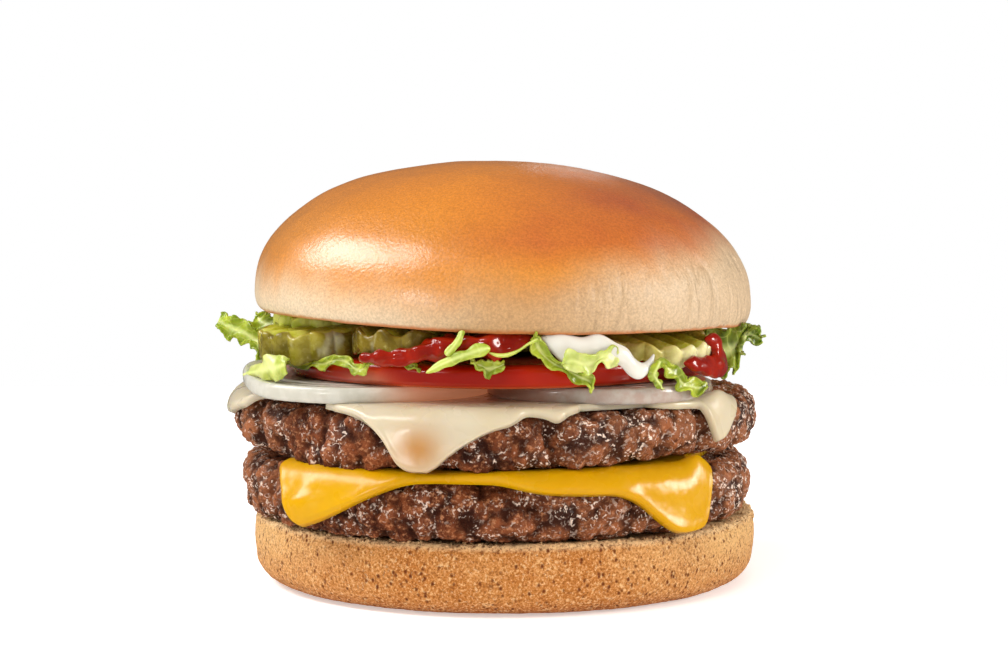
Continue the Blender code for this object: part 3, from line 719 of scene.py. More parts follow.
grains = pebbles(swirled, given["Grain size"], given["Seed"])
crumbs = pebbles(swirled, given["Crumb size"], given["Seed"])
rough = noise_in(where, given["Crumb size"], given["Seed"], detail=3.0)
raised = (grains - 0.35) * given["Grain depth"] + (crumbs - 0.3) * given["Crumb depth"]
raised = raised + rough * (given["Crumb depth"] * 0.9)
kept = out(meat_tree, "GeometryNodeStoreNamedAttribute", {
    "Geometry": given["Geometry"], "Name": "proud", "Value": grains * (crumbs * 0.5 + 0.5),
}, data_type="FLOAT", domain="POINT")
end_tree(meat_tree, given, pushed(kept, raised))

# %% [markdown]
# The finish starts from two browns, is painted lighter towards the ends of the patty, most at the
# right, where the side lights fall, and lays on pale and charred specks and painted shade in the gaps.
# Fat glints as drops and short bent streaks. They are painted highlights, because a highlight that
# small would flicker from one view to the next.

# %% Finish of the meat
DARK_MEAT, LIGHT_MEAT, END_MEAT = colour(90, 42, 21), colour(136, 72, 39), colour(194, 122, 78)
PALE_SPECK, CHAR = colour(198, 134, 92), colour(64, 26, 10)
GAP, FAT = colour(46, 16, 6), colour(248, 222, 202)


def grilled(tree):
    where = here(tree)
    side = where.xyz()[0]
    brown = specks(tree, 5 * MM, 3).spread(0.38, 0.64).blend(DARK_MEAT, LIGHT_MEAT)
    for share, layer in (
        # painted light: lighter towards the ends, most at the right, where the side lights fall
        (side.spread(-10 * MM, 58 * MM, 0.0, 0.5), END_MEAT),
        (side.spread(-40 * MM, -58 * MM, 0.0, 0.5), END_MEAT),
        (specks(tree, 0.8 * MM, 3, 0.6).spread(0.5, 0.68, 0.0, 0.75), PALE_SPECK),
        (specks(tree, 1.1 * MM, 4, 0.65).spread(0.5, 0.68, 0.0, 0.75), CHAR),
        # painted shade: darker where a point lies low between the grains
        (stored(tree, "proud").spread(0.05, 0.5, 0.9, 0.0), GAP),
    ):
        brown = share.blend(brown, layer)
    # wet patches, most at the right and at the ends, where the side lights fall: they set the glossy coat and
    # where the painted highlights go
    wet = specks(tree, 4.0 * MM).spread(0.43, 0.6, 0.05, 1.0)
    wet = wet + side.math("ABSOLUTE").spread(36 * MM, 56 * MM, 0.0, 0.35)
    wet = wet + side.spread(-15 * MM, 30 * MM, -0.12, 0.34)
    swirled = stirred(where, 700.0, 1.3 * MM)
    drop = specks(tree, 0.9 * MM, at=swirled, kind="F1").spread(0.14, 0.36, 0.8, 0.0)
    drop = drop * specks(tree, 1.6 * MM).spread(0.45, 0.56)
    line = (specks(tree, 1.5 * MM, 1, at=swirled) - 0.5).math("ABSOLUTE")
    streak = line.spread(0.02, 0.08, 0.9, 0.0) * specks(tree, 1.1 * MM).spread(0.5, 0.6)
    # painted highlights: glints as drops and short bent streaks, where it is wet
    fat = drop.math("MAXIMUM", streak).math("MULTIPLY", wet, clamp=True)
    fine = specks(tree, 0.45 * MM, 3, 0.65) + specks(tree, 1.1 * MM, 3) * 1.6
    return {
        "Base Color": fat.blend(brown, FAT), "Roughness": 0.6, "Specular IOR Level": 0.1,
        "Coat Weight": wet.math("MULTIPLY", 0.5, clamp=True), "Coat Roughness": 0.1,
        "Normal": bump(fine, 1.0, 0.5 * MM),
        "Coat Normal": bump(specks(tree, 0.7 * MM, roughness=0.6), 1.0, 0.5 * MM),
    }


meat_finish = new_finish("grilled_meat", grilled)

# %% [markdown]
# The patty itself is a disc with a round side. Its knuckles are a coarse noise, and its clefts are
# notches at chosen angles, as in the solid. The upper patty is soft and heavy, so its lower edge
# sinks on to the cheese at the front.

# %% Shape of the patties
PATTY_CENTRE = (-1.8 * MM, 0.0)
PATTY_EDGE = 5.0 * MM
# clefts and droop are depths in millimetres, by angle
LOWER_PATTY = {
    "radius": 56.2 * MM, "bottom": 15.3 * MM, "top": 28.0 * MM, "seed": 3.0, "droop": {},
    "clefts": {12: 2.2, 64: 2.6, 118: 2.4, 163: 2.2, 214: 3.0, 243: 1.2, 283: 1.6, 331: 2.8},
}
UPPER_PATTY = {
    "radius": 56.8 * MM, "bottom": 30.8 * MM, "top": 41.2 * MM, "seed": 11.0,
    "droop": {228: 2.4, 242: 1.3, 262: 0.9, 282: 0.9},
    "clefts": {23: 2.0, 79: 2.6, 131: 2.2, 176: 2.4, 217: 3.2, 262: 1.2, 291: 2.2, 330: 3.0},
}
LUMP_SIZE, LUMP_DEPTH, LUMP_SINK = 8.0 * MM, 2.2 * MM, 0.8 * MM
CLEFT_WIDTH, CLEFT_LEAN, DROOP_WIDTH = 2.4, 250, 13


def patty_outline(patty, angle):
    return patty["radius"] * wobble(angle, patty["seed"], 0.009)


def patty_piece(name, node, patty):
    """A patty with the solid's outline, knuckles and clefts, and grains of meat all over."""
    turns = round_turns(900)
    angles = np.degrees(turns)
    steps = [(share, -90.0) for share in (0.0, 0.5, 0.8, 0.93)]
    steps += [(1.0, float(t)) for t in np.linspace(-90, 90, 46)]
    steps += [(share, 90.0) for share in (0.985, 0.97, 0.95, 0.93, 0.9, 0.87, 0.84, 0.8, 0.6, 0.0)]
    middle, half = (patty["top"] + patty["bottom"]) / 2, (patty["top"] - patty["bottom"]) / 2
    offset = Vector((patty["seed"], 0, 0))
    rows = []
    for share, degrees in steps:
        t = math.radians(degrees)
        out_of, up = max(math.cos(t), 0.0), math.sin(t)
        height = middle + half * math.copysign(abs(up) ** 0.85, t)
        radius = share * (patty_outline(patty, turns) - PATTY_EDGE * (1 - out_of**0.85))
        ring = turned(turns, radius, height + 0 * radius, PATTY_CENTRE)
        lump = np.array([
            max(0.0, 0.5 + 0.8 * noise.noise(Vector(p) / LUMP_SIZE + offset)) for p in ring.tolist()
        ])
        deep = LUMP_DEPTH * lump**2 * out_of**0.5
        for angle, cut in patty["clefts"].items():
            away = (angles + CLEFT_LEAN * height - angle + 180) % 360 - 180
            deep = deep + cut * MM * hill(away, 0, CLEFT_WIDTH) * out_of
        sink = LUMP_SINK * lump * math.copysign(up**2, t)
        for angle, droop in patty["droop"].items():
            sink = sink + (
                droop * MM * hill(angles, angle, DROOP_WIDTH)
                * (share > 0.92) * np.clip(0.5 - up / 1.4, 0, 1)
            )
        rows.append(turned(turns, radius - deep * (share == 1.0), height - sink, PATTY_CENTRE))
    piece = grid_mesh(name, np.array(rows))
    close_poles(piece)
    run_tree(piece, meat_tree, meat_finish, {
        "Grain size": 3.4 * MM, "Grain depth": 1.0 * MM, "Crumb size": 1.1 * MM, "Crumb depth": 0.55 * MM,
        "Seed": patty["seed"],
    })
    serve(piece, node)


patty_piece("lower_patty", "patty_lower", LOWER_PATTY)
patty_piece("upper_patty", "patty_upper", UPPER_PATTY)

# %% [markdown]
# ## The cheese
#
# A slice melts over the edge of its patty: it lies flat, bends over the rounded side and hangs, and
# its four corners hang furthest. Melted cheese is smooth and shiny, and light goes a little way in,
# so its finish has some subsurface light under a soft coat.

# %% Finish of the cheese


def melted(body, other, thin, gloss):
    """A glossy finish from two body colours, and the colour where a thin slice lets the meat show through."""

    def paint(tree):
        tone = specks(tree, 16 * MM).spread(0.35, 0.7).blend(body, other)
        return {
            "Base Color": stored(tree, "thin").blend(tone, thin),
            "Roughness": specks(tree, 7 * MM).spread(0.3, 0.7, 0.22, 0.38), "Specular IOR Level": 0.2,
            "Subsurface Weight": 0.2, "Subsurface Radius": (2.0 * MM, 1.2 * MM, 0.3 * MM),
            "Subsurface Scale": 1.0,
            "Coat Weight": gloss, "Coat Roughness": 0.2, "Normal": bump(specks(tree, 5 * MM), 0.6, 0.9 * MM),
        }

    return paint


yellow_finish = new_finish("yellow_cheese", melted(
    colour(202, 147, 0), colour(208, 155, 0), colour(208, 155, 0), 0.32,
))
white_finish = new_finish("white_cheese", melted(
    colour(203, 190, 164), colour(200, 184, 152), colour(184, 132, 74), 0.5,
))

# %% [markdown]
# The slice is described round the stack by how deep its edge drops at each angle. Each column of
# points walks out along the patty's top and down its side, so the cheese follows the meat. Below the
# bend a flap hangs free and leans out a little, and the last row is rounded into a soft lip.

# %% The edges of the slices
# (angle, how far the edge hangs in millimetres), and less than 0 is how far it stays inside
YELLOW_EDGE = (
    (10, -5), (38, 2), (47, 9), (54, 9.5), (64, 3), (90, 1.5), (118, 2.5), (132, 9), (139, 9.5),
    (147, 1), (170, -4), (205, -6), (216.8, -4), (217.6, 0.0), (219.8, 2.6), (222.8, 6.2), (225.4, 9.9),
    (228.0, 11.2), (231, 10.4), (238, 7.2), (245.3, 3.6), (251.7, 1.3), (258, 0.8), (269.2, 0.9), (280.8, 3),
    (288.8, 3.5), (295.6, 3.9), (300.2, 5.8), (304.6, 9.3), (308.6, 12), (313.0, 12.6), (316.8, 11.9),
    (318.8, 6.5), (320.8, 0.5), (331, -4),
)
WHITE_EDGE = (
    (20, -4), (52, 0.5), (66, 6), (74, 9), (81, 8), (92, 2), (120, 0.5), (148, -0.5), (170, 0.8),
    (181, 3.6), (191, 4.8), (199, 3.2), (206, 0.4), (211, -6), (219, -8), (226, -5), (229, -0.4), (234, 0.4),
    (239, 1.0), (243, 2.2), (247.6, 5.6), (251.2, 10.6), (253.4, 11.5), (256.6, 11.5), (258.4, 10.5),
    (261, 8.2), (265, 5.4), (269.5, 3.2), (273, 2.2), (276.5, 0.6), (280.5, 1.1), (282.5, 1.8), (285.5, 0.6),
    (298, -0.4), (312, 0.5), (318.6, 1.2), (320.4, 4.8), (322.4, 8.1), (325.2, 7.6), (329.4, 4), (332.4, 0.6),
    (336, -3), (345, -5),
)


def smooth_cyclic(pairs, degrees):
    """A smooth curve through (angle, value) pairs round the circle, with no overshoot."""
    angles = np.array([a for a, _ in pairs], float)
    angles = np.concatenate([angles - 360, angles, angles + 360])
    values = np.tile(np.array([v for _, v in pairs], float), 3)
    slopes = np.gradient(values, angles)
    rise = np.diff(values)
    degrees = np.mod(degrees, 360)
    k = np.searchsorted(angles, degrees, side="right") - 1
    span = angles[k + 1] - angles[k]
    t = (degrees - angles[k]) / span

    def limited(slope):
        slope = slope * span
        return np.where(rise[k] * slope <= 0, 0.0, np.sign(slope) * np.minimum(abs(slope), 3 * abs(rise[k])))

    start, end = limited(slopes[k]), limited(slopes[k + 1])
    return (
        (2 * t**3 - 3 * t**2 + 1) * values[k] + (t**3 - 2 * t**2 + t) * start
        + (3 * t**2 - 2 * t**3) * values[k + 1] + (t**3 - t**2) * end
    )


print(f"deepest flap {max(drop for _, drop in YELLOW_EDGE + WHITE_EDGE)} mm")

# %% Shape of the cheese
OVERHANG, LIP, FREE_LENGTH = 0.75 * MM, 0.9 * MM, 20 * MM
FOLD_ANGLE, FOLD_HEIGHT = 228, 21.6
BEND = np.radians(np.linspace(90, 0, 60))


def along_column(turn, flow, round_scale, scale, seed):
    """Noise at the points of one column, flow metres along it."""
    x, y = math.cos(turn) * round_scale, math.sin(turn) * round_scale
    return np.array([noise.noise(Vector((x, y, scale * far + seed))) for far in flow.tolist()])


def cheese_column(patty, turn, drop, flare, thickness, seed, lifted):
    """The under and upper points (radius, height) of the slice at one angle."""
    bottom = patty["top"] + 0.3 * MM
    inset = PATTY_EDGE * (1 - np.maximum(np.cos(BEND), 0) ** 0.7)
    sunk = (bottom - (patty["top"] + patty["bottom"]) / 2) * (1 - np.sin(BEND) ** 0.7)
    # the flap leaves the patty's side where that side leans as much as the flap does
    last = int(np.argmax(-np.diff(inset) / np.maximum(np.diff(sunk), 1e-9) < flare)) + 1
    outline = patty_outline(patty, turn) + OVERHANG
    radii = np.concatenate([[0.0], outline - inset[:last], [outline - inset[last - 1] + FREE_LENGTH * flare]])
    heights = np.concatenate([[bottom], bottom - sunk[:last], [bottom - sunk[last - 1] - FREE_LENGTH]])
    lengths = np.concatenate([[0.0], np.cumsum(np.hypot(np.diff(radii), np.diff(heights)))])
    reach = np.interp(-(bottom - drop), -heights[1:], lengths[1:]) if drop > 0 else lengths[1] + drop
    flow = np.concatenate([
        np.linspace(0, 0.8, 5) * (reach - 16 * MM), np.linspace(reach - 15 * MM, reach, 34),
    ])
    r, z = np.interp(flow, lengths, radii), np.interp(flow, lengths, heights)
    curl = lifted[2] * MM * hill(math.degrees(turn), lifted[0], lifted[1])
    z = z + (
        curl * np.clip((r - outline + 4 * MM) / (3 * MM), 0, 1)
        * np.clip((z - bottom + 8 * MM) / (7 * MM), 0, 1)
    )
    ahead, behind = np.minimum(flow + 0.6 * MM, lengths[-1]), flow - 0.6 * MM
    dr, dz = (np.interp(ahead, lengths, v) - np.interp(behind, lengths, v) for v in (radii, heights))
    size = np.hypot(dr, dz)
    to_edge = reach - flow
    round_off = np.sqrt(np.clip(1 - np.clip(1 - to_edge / LIP, 0, 1) ** 2, 0, 1))
    bead = 1 + 0.1 * hill(to_edge, 1.2 * MM, 1.2 * MM) * (drop > 1 * MM)
    wave, small = along_column(turn, flow, 2.6, 90, seed), along_column(turn, flow, 8, 170, seed)
    thick = thickness * bead * (1 + 0.16 * wave) * round_off
    fold = hill(math.degrees(turn), FOLD_ANGLE, 6) * hill(z / MM, FOLD_HEIGHT, 3.0) * (drop > 3 * MM)
    ripple = (0.4 * wave + 0.4 * small + 1.9 * fold) * MM * np.clip((flow - lengths[1]) / (6 * MM), 0, 1)
    out_by = np.maximum(ripple, 0)
    r, z = r - dz / size * out_by, z + dr / size * out_by
    return np.stack([r, z], 1), np.stack([r - dz / size * thick, z + dr / size * thick], 1)


def cheese_piece(name, node, patty, thickness, edge, finish, seed, lifted, flares):
    """lifted is the corner that curls up: its angle, its spread in degrees and its height in millimetres.
    flares say how far a hanging flap leans out at the left and at the right, as a share of its length."""
    turns = round_turns(620)
    angles = np.degrees(turns)
    leans = np.interp(angles, (250, 290), flares)
    columns = []
    for turn, drop, lean in zip(turns, smooth_cyclic(edge, angles) * MM, leans):
        under, over = cheese_column(patty, turn, drop, float(lean), thickness, seed, lifted)
        columns.append(np.concatenate([under, over[::-1]]))
    both = np.array(columns)
    points = turned(turns, both[:, :, 0].T, both[:, :, 1].T, PATTY_CENTRE)
    thin = hill(angles[None, :], 255, 5) * hill(points[:, :, 2] / MM, 34.8, 4.5)
    piece = grid_mesh(name, points, thin=thin)
    piece.data.materials.append(finish)
    close_poles(piece)
    serve(piece, node)


cheese_piece(
    "yellow_slice", "cheese_yellow", LOWER_PATTY, 1.7 * MM, YELLOW_EDGE, yellow_finish, 4.0,
    (317.0, 3.0, 3.0), (0.26, 0.1),
)
cheese_piece(
    "white_slice", "cheese_white", UPPER_PATTY, 1.4 * MM, WHITE_EDGE, white_finish, 9.0,
    (325.0, 4.5, 2.8), (0.1, 0.08),
)

# %% [markdown]
# ## Round slices
#
# Onion, tomato and pickle are all slices: two faces and a rim. One helper makes the rings of such a
# slice with a rounded edge, and stores whether a point is on the rim, so that a finish can tell skin
# from flesh. Geometry Nodes then add what each kind of slice repeats: the onion its rings, and the
# pickle the waves of the crinkle cutter.

# %% Helper for round slices


def slice_mesh(name, outline, thickness, rounding, columns=180, rings=16):
    """A round slice about the origin. outline(angles) gives its radius."""
    turns = round_turns(columns)
    radius = outline(turns)
    half = thickness / 2
    steps = [(share, 0.0, -half, 0.0) for share in np.linspace(0, 0.97, rings)]
    for t in np.radians(np.linspace(-90, 90, 13)):
        height = math.sin(t) * rounding + math.copysign(half - rounding, t)
        steps.append((1.0, rounding * (1 - math.cos(t)), height, 1.0))
    steps += [(share, 0.0, half, 0.0) for share in np.linspace(0.97, 0, rings)]
    radii = np.array([share * (radius - rounding * (share < 1)) - inset for share, inset, _, _ in steps])
    heights, rim = (np.array([[step[k]] * columns for step in steps]) for k in (2, 3))
    piece = grid_mesh(name, turned(turns, radii, heights), rim=rim)
    close_poles(piece)
    return piece


# %% [markdown]
# ### Onion
#
# A cut onion shows its layers as shallow grooves, and its flesh is clear enough for light to pass.
# The tree measures the distance from the slice's middle and sinks a groove at each whole number of
# ring widths. Far from the stack's axis the slice may sag or curl up, as the left one does.

# %% The tree of the onion
SAG_TOWARDS, SAG_FROM, SAG_LENGTH = (-0.777, -0.629), 42 * MM, 14 * MM
CURL_TOWARDS, CURL_FROM, CURL_LENGTH = (-0.95, 0.31), 34 * MM, 12 * MM
onion_tree, given = new_tree("Onion rings", {
    "Ring width": 3.4 * MM, "Groove": 0.35 * MM, "Place": (0, 0, 0), "Sag": 0.0, "Curl": 0.0,
})
where = here(onion_tree)
x, y, z = where.xyz()
from_middle = (x * x + y * y).math("SQRT")
ridge = (from_middle / given["Ring width"] * math.pi).math("COSINE").math("ABSOLUTE").math("POWER", 14.0)
groove = ridge * given["Groove"] * z.math("SIGN")
x, y, _ = where.vector("ADD", given["Place"]).xyz()


def bent(towards, start, length, height):
    """A rise that grows with the square of the distance past a line across the stack."""
    past = ((x * towards[0] + y * towards[1]) - start).math("MAXIMUM", 0.0) / length
    return past * past * height


curl = bent(CURL_TOWARDS, CURL_FROM, CURL_LENGTH, given["Curl"])
sag = bent(SAG_TOWARDS, SAG_FROM, SAG_LENGTH, given["Sag"])
lift = out(onion_tree, "ShaderNodeCombineXYZ", {2: curl - (sag + groove)})
end_tree(onion_tree, given, moved(given["Geometry"], lift.vector("ADD", given["Place"])))

# %% Finish and shape of the onion
CLEAR_FLESH, CLEAR_GLOW = colour(206, 152, 122), colour(190, 120, 84)


def clear_onion(tint, pale, weight, clear_at, glow):
    """A wet, half clear finish. From the first to the second place in clear_at, in metres along X, it gets
    clear and warm, and the last argument is how strongly it glows there: painted light, an emission that
    stands in for light through flesh that the tomato shades."""

    def paint(tree):
        streaks = specks(tree, 2.2 * MM, 3).spread(0.35, 0.68).blend(tint, pale)
        clear = here(tree).xyz()[0].spread(*clear_at, 0.0, 0.85)
        return {
            "Base Color": clear.blend((stored(tree, "rim") * 0.3).blend(streaks, tint), CLEAR_FLESH),
            # painted light: emission where the flesh is clear, under the tomato's shade
            "Emission Color": CLEAR_GLOW, "Emission Strength": clear * glow, "Roughness": 0.2,
            "Subsurface Weight": 0.4, "Subsurface Radius": (4 * MM, 3.5 * MM, 3 * MM),
            "Subsurface Scale": 1.0,
            "Transmission Weight": weight, "IOR": 1.35, "Coat Weight": 0.4, "Coat Roughness": 0.1,
            "Normal": bump(specks(tree, 1.6 * MM, 3), 0.35, 0.3 * MM),
        }

    return paint


white_onion = new_finish("white_onion", clear_onion(
    colour(198, 194, 180), colour(212, 208, 196), 0.1, (-30 * MM, -16 * MM), 0.5,
))
clear_slice = new_finish("clear_onion", clear_onion(
    colour(216, 190, 174), colour(232, 222, 208), 0.4, (14 * MM, 2 * MM), 0.0,
))
ONION_HEIGHT = 44.2 * MM
for name, node, centre, radius, finish, sag, curl in (
    ("left_onion", "onion_left", (-28.6, -19.0), 27.0, white_onion, 0.0, 1.9 * MM),
    ("right_onion", "onion_right", (19.5, -24.5), 23.4, clear_slice, 0.3 * MM, 0.0),
    ("back_onion", "onion_back", (2.0, 25.0), 24.0, white_onion, 0.4 * MM, 0.0),
):
    piece = slice_mesh(
        name, lambda a: radius * MM * wobble(a, centre[0], 0.012), 3.4 * MM, 1.0 * MM, rings=40,
    )
    run_tree(piece, onion_tree, finish, {
        "Place": (centre[0] * MM, centre[1] * MM, ONION_HEIGHT), "Sag": sag, "Curl": curl,
    })
    serve(piece, node)

# %% [markdown]
# ### Tomato
#
# The slice shows its skin at the rim: smooth, tight and deep red, with a paler line where the knife
# cut through it. The outline has soft lobes, as a tomato has.

# %% Tomato
TOMATO_RADIUS = 47.0 * MM
TOMATO_PLACE = (-1 * MM, -3 * MM, 48.4 * MM)
SKIN, BRIGHT_SKIN = colour(160, 20, 0), colour(184, 36, 6)
PALE_SKIN, CUT_LINE = colour(208, 124, 90), colour(206, 92, 40)
FLESH, PALE_FLESH = colour(214, 76, 48), colour(232, 120, 84)


def tomato_skin(tree):
    skin = specks(tree, 18 * MM).spread(0.4, 0.68).blend(SKIN, BRIGHT_SKIN)
    # painted highlight: a soft pale patch low on the rim at the front left
    skin = (stored(tree, "pale") * 0.9).blend(skin, PALE_SKIN)
    skin = here(tree).xyz()[2].spread(46.1 * MM, 46.7 * MM, 0.8, 0.0).blend(skin, CUT_LINE)
    flesh = specks(tree, 5 * MM, 3).spread(0.35, 0.7).blend(FLESH, PALE_FLESH)
    return {
        "Base Color": stored(tree, "rim").blend(flesh, skin), "Roughness": 0.2, "Specular IOR Level": 0.35,
        "Coat Weight": 0.4, "Coat Roughness": 0.05, "Normal": bump(specks(tree, 3 * MM), 0.12, 0.3 * MM),
    }


def tomato_outline(a):
    return TOMATO_RADIUS * (1 + 0.012 * np.cos(5 * a + 0.9) + 0.006 * np.cos(3 * a))


tomato = slice_mesh("tomato", tomato_outline, 4.9 * MM, 1.7 * MM, columns=300)
around = np.array([math.degrees(math.atan2(v.co.y, v.co.x)) % 360 for v in tomato.data.vertices])
height = np.array([v.co.z / MM for v in tomato.data.vertices])
# painted highlight: where the soft pale patch lies on the rim
give(tomato, pale=hill(around, 235, 6) * hill(height, -0.8, 1.2))
tomato.data.materials.append(new_finish("tomato_skin", tomato_skin))
tomato.data.transform(Matrix.Translation(TOMATO_PLACE))
serve(tomato, "tomato_slice")

# %% [markdown]
# ### Pickles
#
# A crinkle cutter leaves even waves across the slice. The rim is dark olive skin, and the flesh is
# yellow-green and half clear. The waves run in one direction, so the tree only needs the distance
# along it, and then tips the slice and puts it in place.

# %% The tree of the pickles
pickle_tree, given = new_tree("Crinkle cut", {
    "Wave length": 5.0 * MM, "Wave height": 0.8 * MM, "Direction": 0.0, "Tip": Euler((0, 0, 0)),
    "Place": (0, 0, 0),
})
where = here(pickle_tree)
x, y, _ = where.xyz()
along = x * given["Direction"].math("COSINE") + y * given["Direction"].math("SINE")
wave = (along / given["Wave length"] * math.tau).math("COSINE") * given["Wave height"]
lift = wave + noise_in(where, 6 * MM, 2.0) * (0.8 * MM)
waved = moved(given["Geometry"], out(pickle_tree, "ShaderNodeCombineXYZ", {2: lift}))
end_tree(pickle_tree, given, out(pickle_tree, "GeometryNodeTransform", {
    "Geometry": waved, "Translation": given["Place"], "Rotation": given["Tip"],
}))

# %% Finish of the pickles
FADED, SEED_SPECK, BLOOM = colour(226, 218, 170), colour(190, 184, 110), colour(208, 204, 168)
PICKLE_FLESH, LIGHT_FLESH = colour(172, 176, 46), colour(202, 204, 90)


def pickled(dark, light, pale_from=1.0):
    """A half clear finish, from the skin's two colours. It turns paler from a place in metres along X."""

    def paint(tree):
        skin = specks(tree, 4 * MM, 3).spread(0.35, 0.68).blend(dark, light)
        # paler towards +X from pale_from: partly the pale cut end, partly painted light, which leaves the
        # left darker as painted shade under the mayonnaise
        skin = here(tree).xyz()[0].spread(pale_from, pale_from + 10 * MM, 0.0, 0.8).blend(skin, FADED)
        skin = specks(tree, 1.0 * MM).spread(0.6, 0.8, 0.0, 0.5).blend(skin, SEED_SPECK)
        # painted highlights: pale patches on the skin
        skin = specks(tree, 5 * MM, 3, stretch=(1, 1, 0.6)).spread(0.58, 0.74, 0.0, 0.5).blend(skin, BLOOM)
        flesh = specks(tree, 3 * MM, 3).spread(0.35, 0.68).blend(PICKLE_FLESH, LIGHT_FLESH)
        return {
            "Base Color": stored(tree, "rim").blend(flesh, skin), "Specular IOR Level": 0.3,
            "Roughness": specks(tree, 2 * MM).spread(0.35, 0.65, 0.18, 0.38),
            "Subsurface Weight": 0.3, "Subsurface Radius": (2 * MM, 2.4 * MM, 0.6 * MM),
            "Subsurface Scale": 1.0,
            "Coat Weight": 0.5, "Coat Roughness": 0.12,
            "Normal": bump(specks(tree, 0.9 * MM, 3), 0.6, 0.3 * MM),
        }

    return paint


olive_pickle = new_finish("olive_pickle", pickled(colour(106, 92, 20), colour(160, 146, 48)))
# partly its own greener colour, partly painted light: a lighter copy of the pickle colours for the top slice,
# which lies in the bun's shade
green_pickle = new_finish("green_pickle", pickled(colour(176, 186, 60), colour(218, 222, 108)))
dark_pickle = new_finish("dark_pickle", pickled(colour(84, 66, 8), colour(128, 108, 26)))
# painted light: lighter colours for the right slice, which the bun shades
pale_pickle = new_finish("pale_pickle", pickled(colour(184, 170, 70), colour(226, 214, 122), 30 * MM))

# %% Shape of the pickles
PICKLES = (
    # name, node, (angle, radius, height), radius, thickness, wave length and height, its direction,
    # tip, the angle that it tips towards, finish
    ("left_pickle", "pickle_front_left", (209, 44.5, 53.4), 12.8, 6.0, 5.2, 0.6, 118, 5, 215, olive_pickle),
    ("front_pickle", "pickle_front", (243, 42.0, 55.3), 11.8, 4.6, 6.6, 0.75, 150, 2, 243, dark_pickle),
    ("top_pickle", "pickle_top_left", (197, 38.0, 57.2), 13.4, 2.6, 5.2, 0.45, 105, -1.8, 180, green_pickle),
    ("right_pickle", "pickle_right", (318, 41.5, 53.9), 12.5, 4.0, 4.4, 0.55, 40, 12, 300, pale_pickle),
    ("back_pickle", "pickle_back", (62, 44.0, 53.3), 12.5, 3.0, 5.6, 0.5, 80, 3, 62, olive_pickle),
)
for name, node, where, radius, thick, length, height, direction, tip, towards, finish in PICKLES:
    lobes = round(math.tau * radius / length)

    def outline(a):
        return radius * MM * wobble(a, radius, 0.02) + 0.9 * MM * (np.abs(np.sin(a * lobes / 2)) ** 0.7 - 0.7)

    piece = slice_mesh(name, outline, thick * MM, 0.8 * MM, columns=320, rings=24)
    axis = Vector((math.cos(math.radians(towards + 90)), math.sin(math.radians(towards + 90)), 0))
    run_tree(piece, pickle_tree, finish, {
        "Wave length": length * MM, "Wave height": height * MM, "Direction": math.radians(direction),
        "Place": place(*where), "Tip": Matrix.Rotation(math.radians(tip), 3, axis).to_euler(),
    })
    serve(piece, node)

# %% [markdown]
# ## Lettuce
#
# Torn lettuce is a thin sheet that ruffles more and more towards its edge, with a pale rib along the
# middle and veins that branch from it. A Geometry Nodes tree ruffles a flat sheet: the wave grows
# with the distance from the rib, and noise crumples it.

# %% The tree of the lettuce
leaf_tree, given = new_tree("Ruffled leaf", {
    "Ruffle": 1.0 * MM, "Waves": 3.0, "Crumple": 0.6 * MM, "Seed": 0.0,
})
across, along = stored(leaf_tree, "across"), stored(leaf_tree, "along")
phase = along * given["Waves"] * math.tau + (given["Seed"] + across * 1.3)
ruffle = across.math("ABSOLUTE").math("POWER", 1.6) * phase.math("SINE") * given["Ruffle"]
crumple = noise_in(here(leaf_tree), 4.5 * MM, given["Seed"]) * (given["Crumple"] * 2.0)
end_tree(leaf_tree, given, pushed(given["Geometry"], ruffle + crumple))

# %% Finish of the lettuce
VEIN, RIB = colour(212, 220, 120), colour(224, 232, 150)


def leafy(dark, light):
    """A thin green finish from two greens, with pale veins and a paler rib along the middle."""

    def paint(tree):
        near_rib = stored(tree, "across").math("ABSOLUTE").spread(0.0, 0.4, 1.0, 0.0)
        green = specks(tree, 5 * MM, 3).spread(0.35, 0.66).blend(dark, light)
        green = specks(tree, 2.6 * MM, kind="DISTANCE_TO_EDGE").spread(0.0, 0.1, 0.3, 0.0).blend(green, VEIN)
        return {
            "Base Color": (near_rib * 0.6).blend(green, RIB), "Roughness": 0.34,
            "Subsurface Weight": 0.35, "Subsurface Radius": (1.2 * MM, 2.0 * MM, 0.3 * MM),
            "Subsurface Scale": 1.0,
            "Coat Weight": 0.2, "Coat Roughness": 0.2,
            "Normal": bump(specks(tree, 1.4 * MM, 3), 0.5, 0.3 * MM),
        }

    return paint


leaf_finish = new_finish("lettuce_leaf", leafy(colour(124, 138, 20), colour(174, 184, 52)))
deep_leaf_finish = new_finish("deep_lettuce_leaf", leafy(colour(84, 100, 14), colour(134, 144, 32)))
young_leaf_finish = new_finish("young_lettuce_leaf", leafy(colour(168, 180, 72), colour(214, 220, 138)))
rib_finish = new_finish("lettuce_rib", leafy(colour(146, 162, 36), colour(190, 200, 84)))

# %% [markdown]
# Each leaf is stretched between two edges, which are a few listed places from the photo. The sheet
# between them stands out a little in the middle and is torn at the sides by noise. Then the tree
# ruffles it, and Solidify gives it its thickness.

# %% Helper for leaves
LEAF_THICKNESS = 0.45 * MM


def edges(one_edge, other_edge, long):
    """Two smooth edges through places, as arrays of points."""
    return [through([place(*station) for station in stations], long) for stations in (one_edge, other_edge)]


